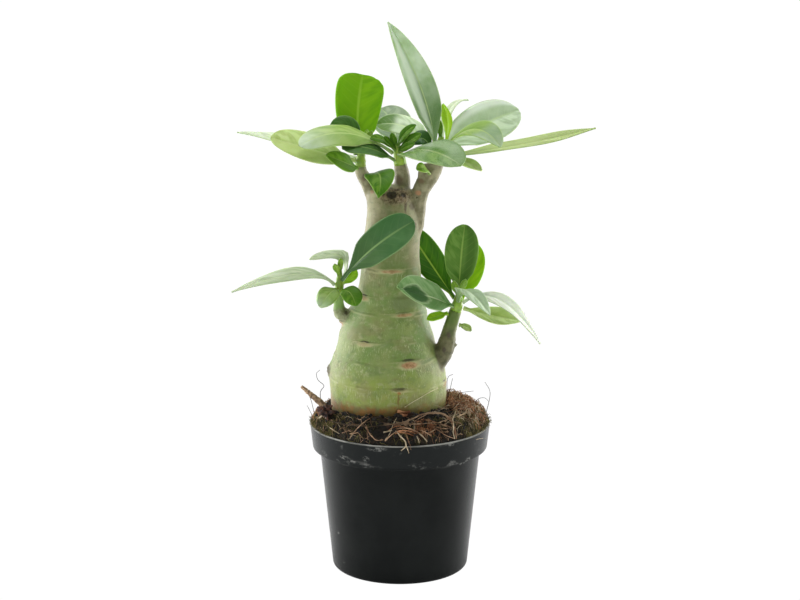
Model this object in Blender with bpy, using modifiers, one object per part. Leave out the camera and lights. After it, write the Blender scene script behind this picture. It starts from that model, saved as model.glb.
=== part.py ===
"""A potted desert rose: a swollen trunk with five leafy shoots, rooted in a black nursery pot.

Lengths are in millimetres while a shape is worked out, and MM turns them into metres.
+X is to the right of the front view, -Y is to the front and +Z is up. The origin is the middle
of the pot's flat underside.
"""

import math
import random
from dataclasses import dataclass

import bmesh
import bpy
import numpy as np
from mathutils import Matrix, Vector, noise
from mathutils.bvhtree import BVHTree

MM = 0.001
GAP = 0.3
SEED = 11
MERGE = 0.0001

# The pot: a thin moulded wall with a stepped collar
POT_HEIGHT = 87.0
RIM_RADIUS = 52.5
COLLAR_HEIGHT = 14.5
COLLAR_FOOT_RADIUS = 51.0
STEP_DROP = 1.6
WALL_TOP_RADIUS = 46.8
BASE_RADIUS = 39.8
CORNER = 2.4
WALL = 1.2
FLOOR = 1.6
POT_SIDES = 48
DRAIN_COUNT = 6
DRAIN_RADIUS = 4.0
DRAIN_RING = 26.0

# The soil: a root ball that fills the pot and stands above its rim
MOUND_EDGE = 87.8
MOUND_RISE = 9.2
MOUND_LEAN = 2.4
MOUND_POWER = 2.6
BUMP_SIZE = 7.5
BUMP_HEIGHT = 1.3

# The caudex: its foot stands in the soil, from FOOT_TOP down, and its top rounds over SHOULDER
FOOT_X = -6.0
FOOT_TOP = 104.0
FOOT_HALF = 34.0
SHOULDER = 219.0

# Centre, half width and height of the trunk's outline, from its top down to the end of its foot
TRUNK_OUTLINE = (
    (-6.8, 8.5, 225.6),
    (-6.9, 12.2, 224.0),
    (-6.6, 13.4, SHOULDER),
    (-4.9, 14.8, 209.0),
    (-4.9, 15.9, 200.0),
    (-5.6, 16.6, 190.0),
    (-5.5, 16.8, 180.0),
    (-5.6, 18.3, 168.0),
    (-5.8, 20.0, 159.5),
    (-7.2, 23.0, 151.5),
    (-7.8, 25.8, 144.0),
    (-7.5, 27.8, 135.5),
    (-6.8, 30.4, 128.0),
    (-6.6, 32.9, 121.5),
    (-6.4, 33.8, 114.0),
    (FOOT_X, FOOT_HALF, FOOT_TOP),
    (FOOT_X, 33.6, 96.0),
    (FOOT_X, 31.0, 84.0),
    (FOOT_X, 25.0, 70.0),
    (FOOT_X, 16.0, 60.0),
    (FOOT_X, 7.0, 56.0),
)
TRUNK_SIDES = 26
TRUNK_RINGS = 23
PLANT_LEAN = 0.8
PLANT_SHIFT = -2.2
RIDGES = (179.0, 163.0, 154.5, 138.5, 128.0, 114.0)
RIDGE_HEIGHT = 0.5
RIDGE_WIDTH = 1.8
KNOB = (-37.5, -2.0, 117.5)
KNOB_HEIGHT = 1.8
KNOB_SPREAD = 4.5

# Shoots, in the plant's own leaning frame: points of each woody axis with their radius, and
# the tip of the green part
WOOD = {
    "crown_left": ((-11, 0, 205, 6), (-14.5, 0, 217, 5.2), (-19, 0, 226.5, 4.4), (-23, 0, 233, 3.7),
                   (-23.5, 0, 237, 3.4)),
    "crown_middle": ((-2, 3, 208, 6.5), (0, 3, 222, 5.2), (0.3, 3, 231, 4.6), (-1, 3, 238, 4.0)),
    "crown_right": ((4, -1, 192, 6), (8.8, -1, 205, 4.8), (9.4, -1, 216, 4.8), (11.2, -1, 224, 5),
                    (15.5, -0.5, 231, 5.4), (18.6, 0, 237, 4.8), (20.4, 0, 243, 3.9)),
    "left_shoot": ((-20, -2, 147, 6), (-29.5, -2, 149, 4.8), (-34.3, -3, 152, 4.2), (-35.3, -4, 158, 3.1),
                   (-35, -5, 166, 2.8)),
    "right_shoot": ((17, -6, 117, 6), (22.5, -6.5, 124, 5.2), (26.5, -7, 133, 5.5), (28.3, -7.5, 142, 4.4),
                    (30.5, -8, 151, 3.9), (32, -8, 155.5, 3.7)),
}
GREEN = {
    "crown_left": (-22.6, 0.5, 248),
    "crown_middle": (-3.4, 2.2, 250),
    "crown_right": (22, 0.8, 254),
    "left_shoot": (-34.6, -5, 177),
    "right_shoot": (34, -9, 167),
}
GREEN_TAPER = 0.4
STUB = ((14, -1, 228, 4.2), (11.8, -2, 235, 3.4), (11.4, -2.4, 239.5, 2.6))
THORN = ((30, -7, 134, 1.6), (35, -7.5, 135.2, 0.5))
WOUNDS = ((-5.6, -11.5, 223.2, 3.2), (1.0, -10.5, 223.0, 2.3))

# Leaves
BLADE = 0.8
PETIOLE_WIDTH = 2.2
PETIOLE_DEPTH = 1.5
SEAT = 0.9


@dataclass
class Leaf:
    """One leaf: its shoot and height there, two points of its midrib, and its blade's shape."""

    name: str
    shoot: str
    height: float
    bend: tuple
    tip: tuple
    width: float
    face: tuple
    face_tip: tuple = None
    fold: float = 6.0
    peak: float = 0.6
    point: float = 0.6
    end: float = 1.2
    wave: float = 0.5
    tone: str = "leaf_mid"


LEAVES = (
    Leaf("crown_left_leaf_upright", "crown_left", 244, (-28, 15, 261), (-20.5, 16, 287.5), 27.5,
         (0.05, -1, 0.1), fold=3, peak=0.7, point=0.4, end=11, tone="leaf_bright"),
    Leaf("crown_left_leaf_arched", "crown_left", 243, (-29.5, 0.5, 268), (-40, 0, 253), 15,
         (1, 0, 0.1), (0.1, -0.7, 0.7), tone="leaf_dark"),
    Leaf("crown_left_leaf_broad", "crown_left", 240, (-47, -14, 246), (-73.5, -16, 254.5), 22,
         (0.1, -0.62, 0.78), fold=10, peak=0.62, point=0.5, tone="leaf_bright"),
    Leaf("crown_left_leaf_small", "crown_left", 236, (-30, -13, 240), (-42.5, -19, 245.5), 12,
         (0.1, -0.75, 0.65), tone="leaf_dark"),
    Leaf("crown_left_leaf_long", "crown_left", 240.8, (-58, 22, 249), (-96, 30, 252), 16,
         (0, -0.15, 1), fold=12, point=0.9, tone="leaf_pale"),
    Leaf("crown_left_leaf_hanging", "crown_left", 231, (-9, -20, 242), (-13, -29, 223.5), 17,
         (0, -0.2, 1), (0, -1, 0.35), peak=0.5, point=0.9, tone="leaf_mid"),
    Leaf("crown_middle_leaf_left", "crown_middle", 244.5, (-32, -16, 266.5), (-57, -26, 251.5), 19.5,
         (0, -0.55, 0.83), fold=-8, peak=0.62, point=0.5, tone="leaf_pale"),
    Leaf("crown_middle_leaf_under", "crown_middle", 240.5, (-19, -15, 251), (-33.5, -20, 248.5), 13,
         (0, -0.55, 0.83), tone="leaf_dark"),
    Leaf("crown_middle_leaf_front", "crown_middle", 243, (12, -30, 256), (32, -47, 245), 25,
         (0.12, -0.62, 0.77), peak=0.62, point=0.42, end=3, tone="leaf_mid"),
    Leaf("crown_middle_leaf_back", "crown_middle", 245.5, (-4, 32, 259.5), (-13, 46, 264), 24,
         (0, -0.55, 0.84), tone="leaf_pale"),
    Leaf("crown_right_leaf_tall", "crown_right", 247, (14.5, -11, 283), (-9, -10, 319), 17.5,
         (0.25, -1, 0.1), fold=22, peak=0.5, point=0.85, tone="leaf_mid"),
    Leaf("crown_right_leaf_bright", "crown_right", 250, (28, 3, 264), (25, 3, 275), 10,
         (-0.85, -0.5, 0.1), tone="leaf_bright"),
    Leaf("crown_right_leaf_inward", "crown_right", 248, (3, 10, 263), (-15, 14, 258.5), 16,
         (0, -0.6, 0.8), tone="leaf_pale"),
    Leaf("crown_right_leaf_broad", "crown_right", 247, (43, 26, 258), (68, 40, 265), 27,
         (0.1, -0.75, 0.65), peak=0.6, point=0.5, end=3, tone="leaf_mid"),
    Leaf("crown_right_leaf_curled", "crown_right", 247.5, (40, -16, 271), (54, -30, 253), 19,
         (0, -0.5, 0.85), (0.2, -0.45, 0.87), tone="leaf_bright"),
    Leaf("crown_right_leaf_long", "crown_right", 243.5, (66, -13, 250), (108, -13, 262), 13.5,
         (0.05, -0.3, 0.95), fold=10, peak=0.5, point=0.95, tone="leaf_bright"),
    Leaf("crown_right_leaf_edge", "crown_right", 251, (25, 24, 274), (38, 30, 271.5), 8,
         (-0.1, 0.2, 0.97), tone="leaf_pale"),
    Leaf("crown_right_leaf_small", "crown_right", 241.5, (35, -18, 245), (44.5, -22, 238.5), 7,
         (0, -0.6, 0.8), tone="leaf_pale"),
    Leaf("crown_right_leaf_dark", "crown_right", 246, (12, -1, 262), (5, -3, 251), 13,
         (0, -0.7, 0.7), tone="leaf_dark"),
    Leaf("crown_right_leaf_low", "crown_right", 229, (13, -14, 241), (8, -14, 237.5), 7,
         (0, -0.7, 0.7), tone="leaf_bright"),
    Leaf("left_shoot_leaf_big", "left_shoot", 172, (-19, -31, 196), (7, -33, 211.5), 21,
         (0.1, -0.85, 0.5), fold=8, peak=0.66, point=0.48, tone="leaf_dark"),
    Leaf("left_shoot_leaf_long", "left_shoot", 169, (-50, -12, 184.5), (-95, -25, 168), 11,
         (0, -0.35, 0.95), (0.1, -0.5, 0.85), peak=0.5, point=0.95, tone="leaf_pale"),
    Leaf("left_shoot_leaf_folded", "left_shoot", 173, (-26, -2, 191.5), (-52, -8, 184), 9,
         (-0.8, -0.3, 0.5), (-0.4, -0.5, 0.75), tone="leaf_pale"),
    Leaf("left_shoot_leaf_round_left", "left_shoot", 166.5, (-39, -15, 168.5), (-45.5, -19, 158.5), 12,
         (-0.2, -0.8, 0.55), point=0.45, end=3, tone="leaf_mid"),
    Leaf("left_shoot_leaf_round_right", "left_shoot", 165.5, (-28, -17, 170), (-25, -21, 160), 12,
         (0.2, -0.8, 0.55), point=0.45, end=3, tone="leaf_mid"),
    Leaf("left_shoot_leaf_back", "left_shoot", 168.5, (-30, 6, 170), (-25.5, 9, 175), 8,
         (0, -0.8, 0.6), tone="leaf_bright"),
    Leaf("right_shoot_leaf_upright", "right_shoot", 163.5, (34, -3, 186), (36.5, -1, 204), 19.5,
         (-0.05, -0.97, 0.2), fold=8, peak=0.6, point=0.5, end=2, tone="leaf_mid"),
    Leaf("right_shoot_leaf_behind", "right_shoot", 162, (17, 15, 178), (3, 38, 195.5), 20,
         (0.1, -0.8, 0.75), tone="leaf_dark"),
    Leaf("right_shoot_leaf_backlit", "right_shoot", 159.5, (43, 9, 176), (41, 18, 190.5), 16,
         (0.1, -0.95, 0.3), tone="leaf_bright"),
    Leaf("right_shoot_leaf_cupped", "right_shoot", 158.5, (15.5, -30, 169.5), (-3, -40, 174.5), 20,
         (0, -0.8, 0.6), fold=15, point=0.45, end=3, tone="leaf_mid"),
    Leaf("right_shoot_leaf_white", "right_shoot", 161.5, (33.5, -26, 181), (50, -39, 160), 12,
         (0.3, -0.4, 0.85), tone="leaf_pale"),
    Leaf("right_shoot_leaf_arching", "right_shoot", 160.5, (56, -20, 177), (79, -34, 142.5), 12,
         (0.3, -0.4, 0.85), peak=0.5, point=0.95, tone="leaf_pale"),
    Leaf("right_shoot_leaf_level", "right_shoot", 157, (51.5, -14, 153), (69.5, -18, 152), 14,
         (0, -0.5, 0.85), fold=12, point=0.7, tone="leaf_bright"),
    Leaf("right_shoot_leaf_tucked", "right_shoot", 154, (21.8, -13, 153.5), (15.5, -16, 151.5), 6.5,
         (0, -0.6, 0.8), tone="leaf_bright"),
    Leaf("right_shoot_leaf_oval", "right_shoot", 147, (37, -11, 147.5), (41, -13, 144.5), 5,
         (0, -0.5, 0.85), tone="leaf_bright"),
)

# Young leaves that are still one with their growing tip
YOUNG = (
    Leaf("young", "crown_left", 246, (-20, 0, 253), (-17, -1, 257), 4, (0.3, -0.8, 0.5)),
    Leaf("young", "crown_left", 246, (-21, 4, 253), (-20, 6, 257), 3.5, (-0.4, -0.7, 0.5)),
    Leaf("young", "crown_middle", 247, (-1, -4, 256), (7.5, -6, 261.5), 6, (-0.4, -0.8, 0.5)),
    Leaf("young", "crown_middle", 248, (-5, 0, 254), (-6.5, -2, 259), 4, (-0.3, -0.9, 0.2)),
    Leaf("young", "crown_right", 252, (21.5, 1.5, 259), (20.5, 1, 264), 3.5, (-0.3, -0.9, 0.3)),
    Leaf("young", "left_shoot", 174, (-36.5, -9, 179.5), (-37.5, -11.5, 182), 4, (-0.2, -0.9, 0.3)),
    Leaf("young", "left_shoot", 175, (-34.5, -8, 181), (-34, -9.5, 185), 3.5, (0.3, -0.9, 0.2)),
    Leaf("young", "right_shoot", 164, (31, -13, 170), (30.5, -15, 174), 4.5, (-0.3, -0.9, 0.3)),
    Leaf("young", "right_shoot", 165, (35.5, -13, 171), (37, -15, 175), 4, (0.3, -0.9, 0.3)),
)

# Surface roots: rows of x, y and the height of the root's underside above the ground
ROOTS = (
    (0.95, ((-4.5, -46, 0), (1, -45.5, 0.6), (6, -44, 1.6), (11, -42, 3), (16, -40.5, 4.2),
            (23, -38.5, 4.6), (27, -38, 3.8), (29.8, -39.5, 2.2), (31.2, -41, 0.8), (31.8, -42.5, 0))),
    (0.7, ((-29, -36.5, 0), (-26, -40, 0), (-21, -41, 0.2), (-14, -41.5, 0.2), (-6, -45, 0),
           (-1, -46.5, 0))),
    (0.7, ((-3, -42, 0), (-1, -45.5, 0), (2.5, -49, 0.4), (4.5, -52, 1.2), (5.6, -54.6, 0.6),
           (6.2, -54.9, -3))),
    (0.6, ((-1, -44.5, 0.4), (5, -47, 0.4), (9.5, -48, 0.2), (14, -47.5, 0), (18, -45.5, 0),
           (22, -42, 0))),
    (0.7, ((30, -20, 0), (33.5, -24, 0.2), (34, -30, 0.4), (32, -36, 0.2), (30.5, -39, 0))),
    (0.55, ((38, -18, 0), (37, -22, 0.2), (34.5, -27, 0.3), (33, -31, 0.3))),
)
LOOP_RADIUS = 46.0
LOOP_SWAY = 1.6
LOOP_TUBE = 0.75
LOOP_POINTS = 30
STRAYS = 7
STRAY_STEP = 3.4
STRAY_CLEAR_ARC = (172, 285)

# The dry stick, the hole it stands in and the piece of bark
STICK = ((-41.7, -13.2, 92, 1.6), (-42.2, -13, 97, 1.6), (-45.5, -11.8, 100.8, 1.7), (-51, -10, 105, 1.4),
         (-56.8, -8, 109.7, 0.7))
STICK_HOLE = ((-41.7, -13.2, 91.4, 2), (-42.2, -13, 97, 2), (-44.2, -12.3, 99.4, 2.2),
              (-46.5, -11.5, 101.7, 2.2))
CHUNK_PLACE = (-42.5, -22.5)
CHUNK_SIZE = (11, 8.5, 7)

COLOURS = {
    "black_plastic": ((0.012, 0.013, 0.014), 0.42),
    "soil": ((0.045, 0.028, 0.018), 0.95),
    "root": ((0.23, 0.14, 0.085), 0.85),
    "bark": ((0.10, 0.07, 0.05), 0.9),
    "caudex": ((0.30, 0.34, 0.17), 0.6),
    "shoot_green": ((0.22, 0.36, 0.05), 0.5),
    "leaf_bright": ((0.19, 0.40, 0.03), 0.42),
    "leaf_mid": ((0.10, 0.24, 0.06), 0.38),
    "leaf_dark": ((0.045, 0.13, 0.035), 0.4),
    "leaf_pale": ((0.33, 0.48, 0.24), 0.36),
}


def clear_scene():
    """Remove what the file starts with."""
    for obj in list(bpy.data.objects):
        bpy.data.objects.remove(obj, do_unlink=True)


def new_collection(name):
    group = bpy.data.collections.new(name)
    bpy.context.scene.collection.children.link(group)
    return group


def material(name):
    """A Principled material in the part's colour."""
    found = bpy.data.materials.get(name)
    if found:
        return found
    colour, roughness = COLOURS[name]
    made = bpy.data.materials.new(name)
    made.use_nodes = True
    shader = made.node_tree.nodes["Principled BSDF"]
    shader.inputs["Base Color"].default_value = (*colour, 1)
    shader.inputs["Roughness"].default_value = roughness
    shader.inputs["Metallic"].default_value = 0
    return made


def add_object(name, mesh, group, colour=None):
    """Link a mesh as a smooth-shaded object."""
    obj = bpy.data.objects.new(name, mesh)
    group.objects.link(obj)
    if colour:
        mesh.materials.clear()
        mesh.materials.append(material(colour))
    mesh.shade_smooth()
    return obj


def make_cutter(obj):
    obj.hide_render = True
    obj.display_type = "WIRE"
    return obj


def evaluated_mesh(obj):
    depsgraph = bpy.context.evaluated_depsgraph_get()
    return bpy.data.meshes.new_from_object(obj.evaluated_get(depsgraph))


def turned(name, profile, sides, group):
    """A body turned about Z from rows of radius and height that run down its outer side."""
    mesh = bpy.data.meshes.new(name)
    points = [(r * MM, 0, z * MM) for r, z in profile]
    mesh.from_pydata(points, [(i, i + 1) for i in range(len(points) - 1)], [])
    obj = bpy.data.objects.new(name, mesh)
    group.objects.link(obj)
    screw = obj.modifiers.new("turn", "SCREW")
    screw.steps = sides
    screw.render_steps = sides
    screw.use_merge_vertices = True
    screw.merge_threshold = MERGE
    solid = evaluated_mesh(obj)
    bpy.data.objects.remove(obj, do_unlink=True)
    bpy.data.meshes.remove(mesh)
    return add_object(name, solid, group)


def smooth_path(points, spans=3):
    """Points along a Catmull-Rom curve through rows of any length."""
    rows = [np.array(p, dtype=float) for p in points]
    rows = [2 * rows[0] - rows[1], *rows, 2 * rows[-1] - rows[-2]]
    path = []
    for a, b, c, d in zip(rows, rows[1:], rows[2:], rows[3:]):
        for step in range(spans):
            t = step / spans
            path.append(0.5 * (2 * b + (c - a) * t + (2 * a - 5 * b + 4 * c - d) * t * t
                               + (3 * b - a - 3 * c + d) * t ** 3))
    path.append(rows[-2])
    return path


def tube(name, path, group, resolution=1, closed=False):
    """A round rod along rows of x, y, z and radius, as a closed mesh."""
    curve = bpy.data.curves.new(name, "CURVE")
    curve.dimensions = "3D"
    curve.bevel_depth = MM
    curve.bevel_resolution = resolution
    curve.use_fill_caps = not closed
    spline = curve.splines.new("POLY")
    spline.points.add(len(path) - 1)
    for point, (x, y, z, radius) in zip(spline.points, path):
        point.co = (x * MM, y * MM, z * MM, 1)
        point.radius = radius
    spline.use_cyclic_u = closed
    source = bpy.data.objects.new(name, curve)
    group.objects.link(source)
    mesh = evaluated_mesh(source)
    bpy.data.objects.remove(source, do_unlink=True)
    bm = bmesh.new()
    bm.from_mesh(mesh)
    bmesh.ops.remove_doubles(bm, verts=bm.verts, dist=1e-7)
    bmesh.ops.recalc_face_normals(bm, faces=bm.faces)
    bm.to_mesh(mesh)
    bm.free()
    return add_object(name, mesh, group)


def fuse(name, pieces, group, colour):
    """One body from pieces that overlap, by a Boolean union on a collection."""
    first, *others = pieces
    pool = new_collection(name + "_pool")
    for piece in others:
        pool.objects.link(piece)
    union = first.modifiers.new("fuse", "BOOLEAN")
    union.operation = "UNION"
    union.operand_type = "COLLECTION"
    union.collection = pool
    union.solver = "MANIFOLD"
    mesh = evaluated_mesh(first)
    for piece in pieces:
        bpy.data.objects.remove(piece, do_unlink=True)
    bpy.data.collections.remove(pool)
    return add_object(name, mesh, group, colour)


def cut(obj, cutter):
    """Take a cutter's shape out of an object."""
    bite = obj.modifiers.new("cut", "BOOLEAN")
    bite.operation = "DIFFERENCE"
    bite.object = make_cutter(cutter)
    bite.solver = "EXACT"


# The pot

def inner_radius(z):
    """The pot's inner radius at a height."""
    step = POT_HEIGHT - COLLAR_HEIGHT
    if z >= step:
        return np.interp(z, (step, POT_HEIGHT), (COLLAR_FOOT_RADIUS - WALL, RIM_RADIUS - WALL))
    return np.interp(z, (0, step - STEP_DROP), (BASE_RADIUS - WALL, WALL_TOP_RADIUS - WALL))


def pot_profile():
    """The pot's section, up its inside, over the rim and down its outside."""
    step = POT_HEIGHT - COLLAR_HEIGHT
    below = step - STEP_DROP
    floor_radius = BASE_RADIUS - WALL - CORNER
    profile = [(0, FLOOR), (floor_radius, FLOOR), (floor_radius + 1.7, FLOOR + 0.9)]
    profile += [(inner_radius(FLOOR + 3), FLOOR + 3), (inner_radius(below), below)]
    profile += [(COLLAR_FOOT_RADIUS - WALL, step + 0.6), (RIM_RADIUS - WALL, POT_HEIGHT - 0.3)]
    profile += [(RIM_RADIUS - WALL + 0.3, POT_HEIGHT), (RIM_RADIUS - 0.4, POT_HEIGHT)]
    profile += [(RIM_RADIUS, POT_HEIGHT - 0.5), (COLLAR_FOOT_RADIUS, step + 0.5)]
    profile += [(COLLAR_FOOT_RADIUS - 0.6, step), (WALL_TOP_RADIUS + 0.4, step - 0.8)]
    profile += [(WALL_TOP_RADIUS, below)]
    for turn in (0, 45, 90):
        angle = math.radians(turn)
        profile.append((BASE_RADIUS - CORNER + CORNER * math.cos(angle), CORNER - CORNER * math.sin(angle)))
    profile.append((0, 0))
    return profile


def make_pot(parts, cutters):
    pot = turned("pot", pot_profile(), POT_SIDES, parts)
    pot.data.materials.append(material("black_plastic"))
    pot.data.set_sharp_from_angle(angle=math.radians(35))
    for index in range(DRAIN_COUNT):
        angle = 2 * math.pi * (index + 0.35) / DRAIN_COUNT
        place = Vector((DRAIN_RING * math.cos(angle), DRAIN_RING * math.sin(angle), FLOOR / 2)) * MM
        bm = bmesh.new()
        bmesh.ops.create_cone(bm, cap_ends=True, segments=16, radius1=DRAIN_RADIUS * MM,
                              radius2=DRAIN_RADIUS * MM, depth=6 * FLOOR * MM,
                              matrix=Matrix.Translation(place))
        mesh = bpy.data.meshes.new(f"drain_{index + 1}")
        bm.to_mesh(mesh)
        bm.free()
        cut(pot, add_object(mesh.name, mesh, cutters))


# The caudex

def trunk_at(z):
    """The trunk's centre and half width at a height, along a smooth line through its outline."""
    rows = np.array(TRUNK_OUTLINE)[::-1]
    path = np.array(smooth_path(rows, 4))
    return np.interp(z, path[:, 2], path[:, 0]), np.interp(z, path[:, 2], path[:, 1])


def ridge(z):
    """The height of the faint rings that old leaf scars leave on the trunk."""
    return RIDGE_HEIGHT * max(math.exp(-((z - level) / RIDGE_WIDTH) ** 2) for level in RIDGES)


def trunk_levels():
    """Heights of the trunk's rings, from its top down."""
    crown = [z for _, _, z in TRUNK_OUTLINE if z > SHOULDER]
    shown = list(np.linspace(SHOULDER, FOOT_TOP + 4, TRUNK_RINGS))
    buried = [z for _, _, z in TRUNK_OUTLINE if z <= FOOT_TOP]
    return crown + shown + buried


def make_trunk(group):
    """The swollen trunk alone, turned and then bent to its outline's centre line."""
    levels = trunk_levels()
    profile = [(0, levels[0] + 0.6)]
    for z in levels:
        lift = ridge(z) if FOOT_TOP < z < SHOULDER else 0
        profile.append((trunk_at(z)[1] + lift, z))
    profile.append((0, levels[-1] - 1))
    trunk = turned("trunk", profile, TRUNK_SIDES, group)
    knob = Vector(KNOB)
    for vertex in trunk.data.vertices:
        x, y, z = (c / MM for c in vertex.co)
        x += trunk_at(z)[0]
        away = (Vector((x, y, z)) - knob).length / KNOB_SPREAD
        vertex.co = Vector((x - KNOB_HEIGHT * math.exp(-away * away), y, z)) * MM
    return trunk


def make_plant_axis(parts):
    """The empty that the plant's pieces hang on: it leans a little to the right."""
    axis = bpy.data.objects.new("plant_axis", None)
    axis.location.x = PLANT_SHIFT * MM
    axis.rotation_euler.y = math.radians(PLANT_LEAN)
    parts.objects.link(axis)
    return axis


def make_caudex(plant, parts, cutters):
    """The trunk and every woody stem that grew from it, as one body."""
    pieces = [make_trunk(cutters)]
    for name, points in WOOD.items():
        pieces.append(tube(name + "_wood", smooth_path(points, 2), cutters, resolution=2))
    pieces.append(tube("stub", smooth_path(STUB, 2), cutters, resolution=2))
    pieces.append(tube("thorn", THORN, cutters))
    caudex = fuse("caudex", pieces, parts, "caudex")
    caudex.parent = plant
    for index, (x, y, z, radius) in enumerate(WOUNDS):
        bm = bmesh.new()
        bmesh.ops.create_icosphere(bm, subdivisions=1, radius=radius * MM,
                                   matrix=Matrix.Translation((x * MM, y * MM, z * MM)))
        mesh = bpy.data.meshes.new(f"wound_{index + 1}")
        bm.to_mesh(mesh)
        bm.free()
        wound = add_object(mesh.name, mesh, cutters)
        wound.parent = plant
        cut(caudex, wound)


# The soil

def ground(x, y):
    """The height of the soil's surface, a low mound with crumbs and hollows."""
    reach = math.hypot(x, y)
    edge = inner_radius(POT_HEIGHT) - GAP
    slope = min(max((reach - FOOT_HALF) / (edge - FOOT_HALF), 0), 1)
    bump = noise.noise(Vector((x, y, 3.0)) / BUMP_SIZE)
    bump += 0.5 * noise.noise(Vector((x, y, 9.0)) * 2 / BUMP_SIZE)
    fade = min(1, (edge - reach) / 4) if reach < edge else 0
    rise = MOUND_RISE - MOUND_LEAN * y / max(reach, 1)
    return MOUND_EDGE + rise * (1 - slope ** MOUND_POWER) + BUMP_HEIGHT * bump * fade


def make_soil(plant, parts, cutters):
    """The root ball, with a plain hole for the caudex and one for the stick."""
    edge = inner_radius(POT_HEIGHT) - GAP
    rings = [0, 25, 28, 31, 34, 37, 40, 43, 46, 48.6]
    profile = [(r, MOUND_EDGE + 20) for r in rings] + [(edge, MOUND_EDGE)]
    step = POT_HEIGHT - COLLAR_HEIGHT
    for z in (POT_HEIGHT - 0.5, step + 1.6, step - STEP_DROP + 0.8, FLOOR + 3 + GAP):
        profile.append((inner_radius(z) - 1.5 * GAP, z))
    profile += [(BASE_RADIUS - WALL - CORNER - GAP, FLOOR + GAP), (0, FLOOR + GAP)]
    soil = turned("soil", profile, POT_SIDES, parts)
    soil.data.materials.append(material("soil"))
    for vertex in soil.data.vertices:
        x, y, z = (c / MM for c in vertex.co)
        if z > MOUND_EDGE + 10:
            vertex.co.z = ground(x, y) * MM

    foot = [(r + GAP, z) for _, r, z in TRUNK_OUTLINE if z <= FOOT_TOP]
    hole_profile = [(0, foot[0][1] + 12), (foot[0][0], foot[0][1] + 12), *foot, (0, foot[-1][1] - 1 - GAP)]
    hole = turned("caudex_hole", hole_profile, TRUNK_SIDES, cutters)
    hole.location.x = FOOT_X * MM
    hole.parent = plant
    cut(soil, hole)
    cut(soil, tube("stick_hole", STICK_HOLE, cutters, resolution=2))
    return soil


# Roots, stick and bark

def surface_tree(obj):
    """A search tree of an object's finished faces, in metres."""
    bpy.context.view_layer.update()
    bm = bmesh.new()
    bm.from_object(obj, bpy.context.evaluated_depsgraph_get())
    tree = BVHTree.FromBMesh(bm)
    bm.free()
    return tree


def height_under(tree, x, y, reach):
    """The highest ground within a short reach of a point, or the rim's height past the soil."""
    highest = POT_HEIGHT if math.hypot(x, y) > inner_radius(POT_HEIGHT) - reach - 1 else 0
    for turn in range(8):
        angle = turn * math.pi / 4
        for share in (0, 0.6, 1):
            step = Vector((math.cos(angle), math.sin(angle), 0)) * share * reach
            above = (Vector((x, y, 2 * POT_HEIGHT)) + step) * MM
            hit = tree.ray_cast(above, Vector((0, 0, -1)))[0]
            if hit:
                highest = max(highest, hit.z / MM)
    return highest


def lay(tree, rows, radius):
    """A root's path over the ground, from rows of x, y and lift."""
    path = []
    for x, y, lift in rows:
        z = height_under(tree, x, y, radius + 0.9) + radius + 1.3 * GAP + lift
        path.append((x, y, z, radius))
    return path


def loop_point(angle):
    """A point of the root that circles the pot."""
    reach = LOOP_RADIUS - LOOP_SWAY * math.cos(angle) + 0.5 * math.sin(5 * angle)
    return -1 + reach * math.cos(angle), reach * math.sin(angle)


def stray_rows(rng):
    """A short root that crosses the circling root, kept between the trunk and the rim."""
    low, high = (math.radians(a) for a in STRAY_CLEAR_ARC)
    angle = high + rng.random() * (2 * math.pi - high + low)
    heading = angle + math.pi / 2 + rng.uniform(-0.9, 0.9)
    bend = rng.uniform(-0.05, 0.05)
    rows = []
    for step in range(-3, 5):
        x, y = loop_point(angle)
        turn = heading + bend * step
        x += STRAY_STEP * step * math.cos(turn)
        y += STRAY_STEP * step * math.sin(turn)
        from_trunk = math.hypot(x - FOOT_X - PLANT_SHIFT, y)
        from_axis = math.hypot(x, y)
        if from_trunk > FOOT_HALF + 3 and from_axis < inner_radius(POT_HEIGHT) - 2:
            rows.append((x, y, rng.uniform(0, 0.5)))
    return rows


def make_roots(soil, parts, cutters):
    """The roots that lie on the mound, fused where they cross the circling root."""
    rng = random.Random(SEED)
    tree = surface_tree(soil)
    loop_rows = [(*loop_point(2 * math.pi * i / LOOP_POINTS), 0) for i in range(LOOP_POINTS)]
    pieces = [tube("loop", lay(tree, loop_rows, LOOP_TUBE), cutters, closed=True)]
    for radius, rows in ROOTS:
        path = lay(tree, smooth_path(rows, 2), radius)
        path[-1] = (*path[-1][:3], radius * 0.6)
        pieces.append(tube("root", path, cutters))
    for _ in range(STRAYS):
        pieces.append(tube("stray", lay(tree, stray_rows(rng), rng.uniform(0.45, 0.65)), cutters))
    return fuse("surface_roots", pieces, parts, "root")


def settle(obj, supports):
    """Lower an object until it lies a small gap above what is under it."""
    spots = [vertex.co for vertex in obj.data.vertices] + [face.center for face in obj.data.polygons]
    drops = []
    for support in supports:
        tree = surface_tree(support)
        for spot in spots:
            distance = tree.ray_cast(obj.location + spot, Vector((0, 0, -1)))[3]
            if distance:
                drops.append(distance)
    obj.location.z -= min(drops) - 1.3 * GAP * MM


def make_litter(soil, roots, parts):
    """The dry stick in its hole and the dark piece of bark on the roots."""
    stick = tube("bark_stick", smooth_path(STICK, 2), parts, resolution=2)
    stick.data.materials.append(material("bark"))

    bm = bmesh.new()
    bmesh.ops.create_icosphere(bm, subdivisions=2, radius=0.5)
    for vertex in bm.verts:
        vertex.co *= 1 + 0.25 * noise.noise(vertex.co * 3)
        vertex.co = Vector([c * size * MM for c, size in zip(vertex.co, CHUNK_SIZE)])
    mesh = bpy.data.meshes.new("bark_chunk")
    bm.to_mesh(mesh)
    bm.free()
    chunk = add_object("bark_chunk", mesh, parts, "bark")
    chunk.location = Vector((*CHUNK_PLACE, MOUND_EDGE + 3 * CHUNK_SIZE[2])) * MM
    settle(chunk, (soil, roots))


# Leaves and green tips

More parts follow.
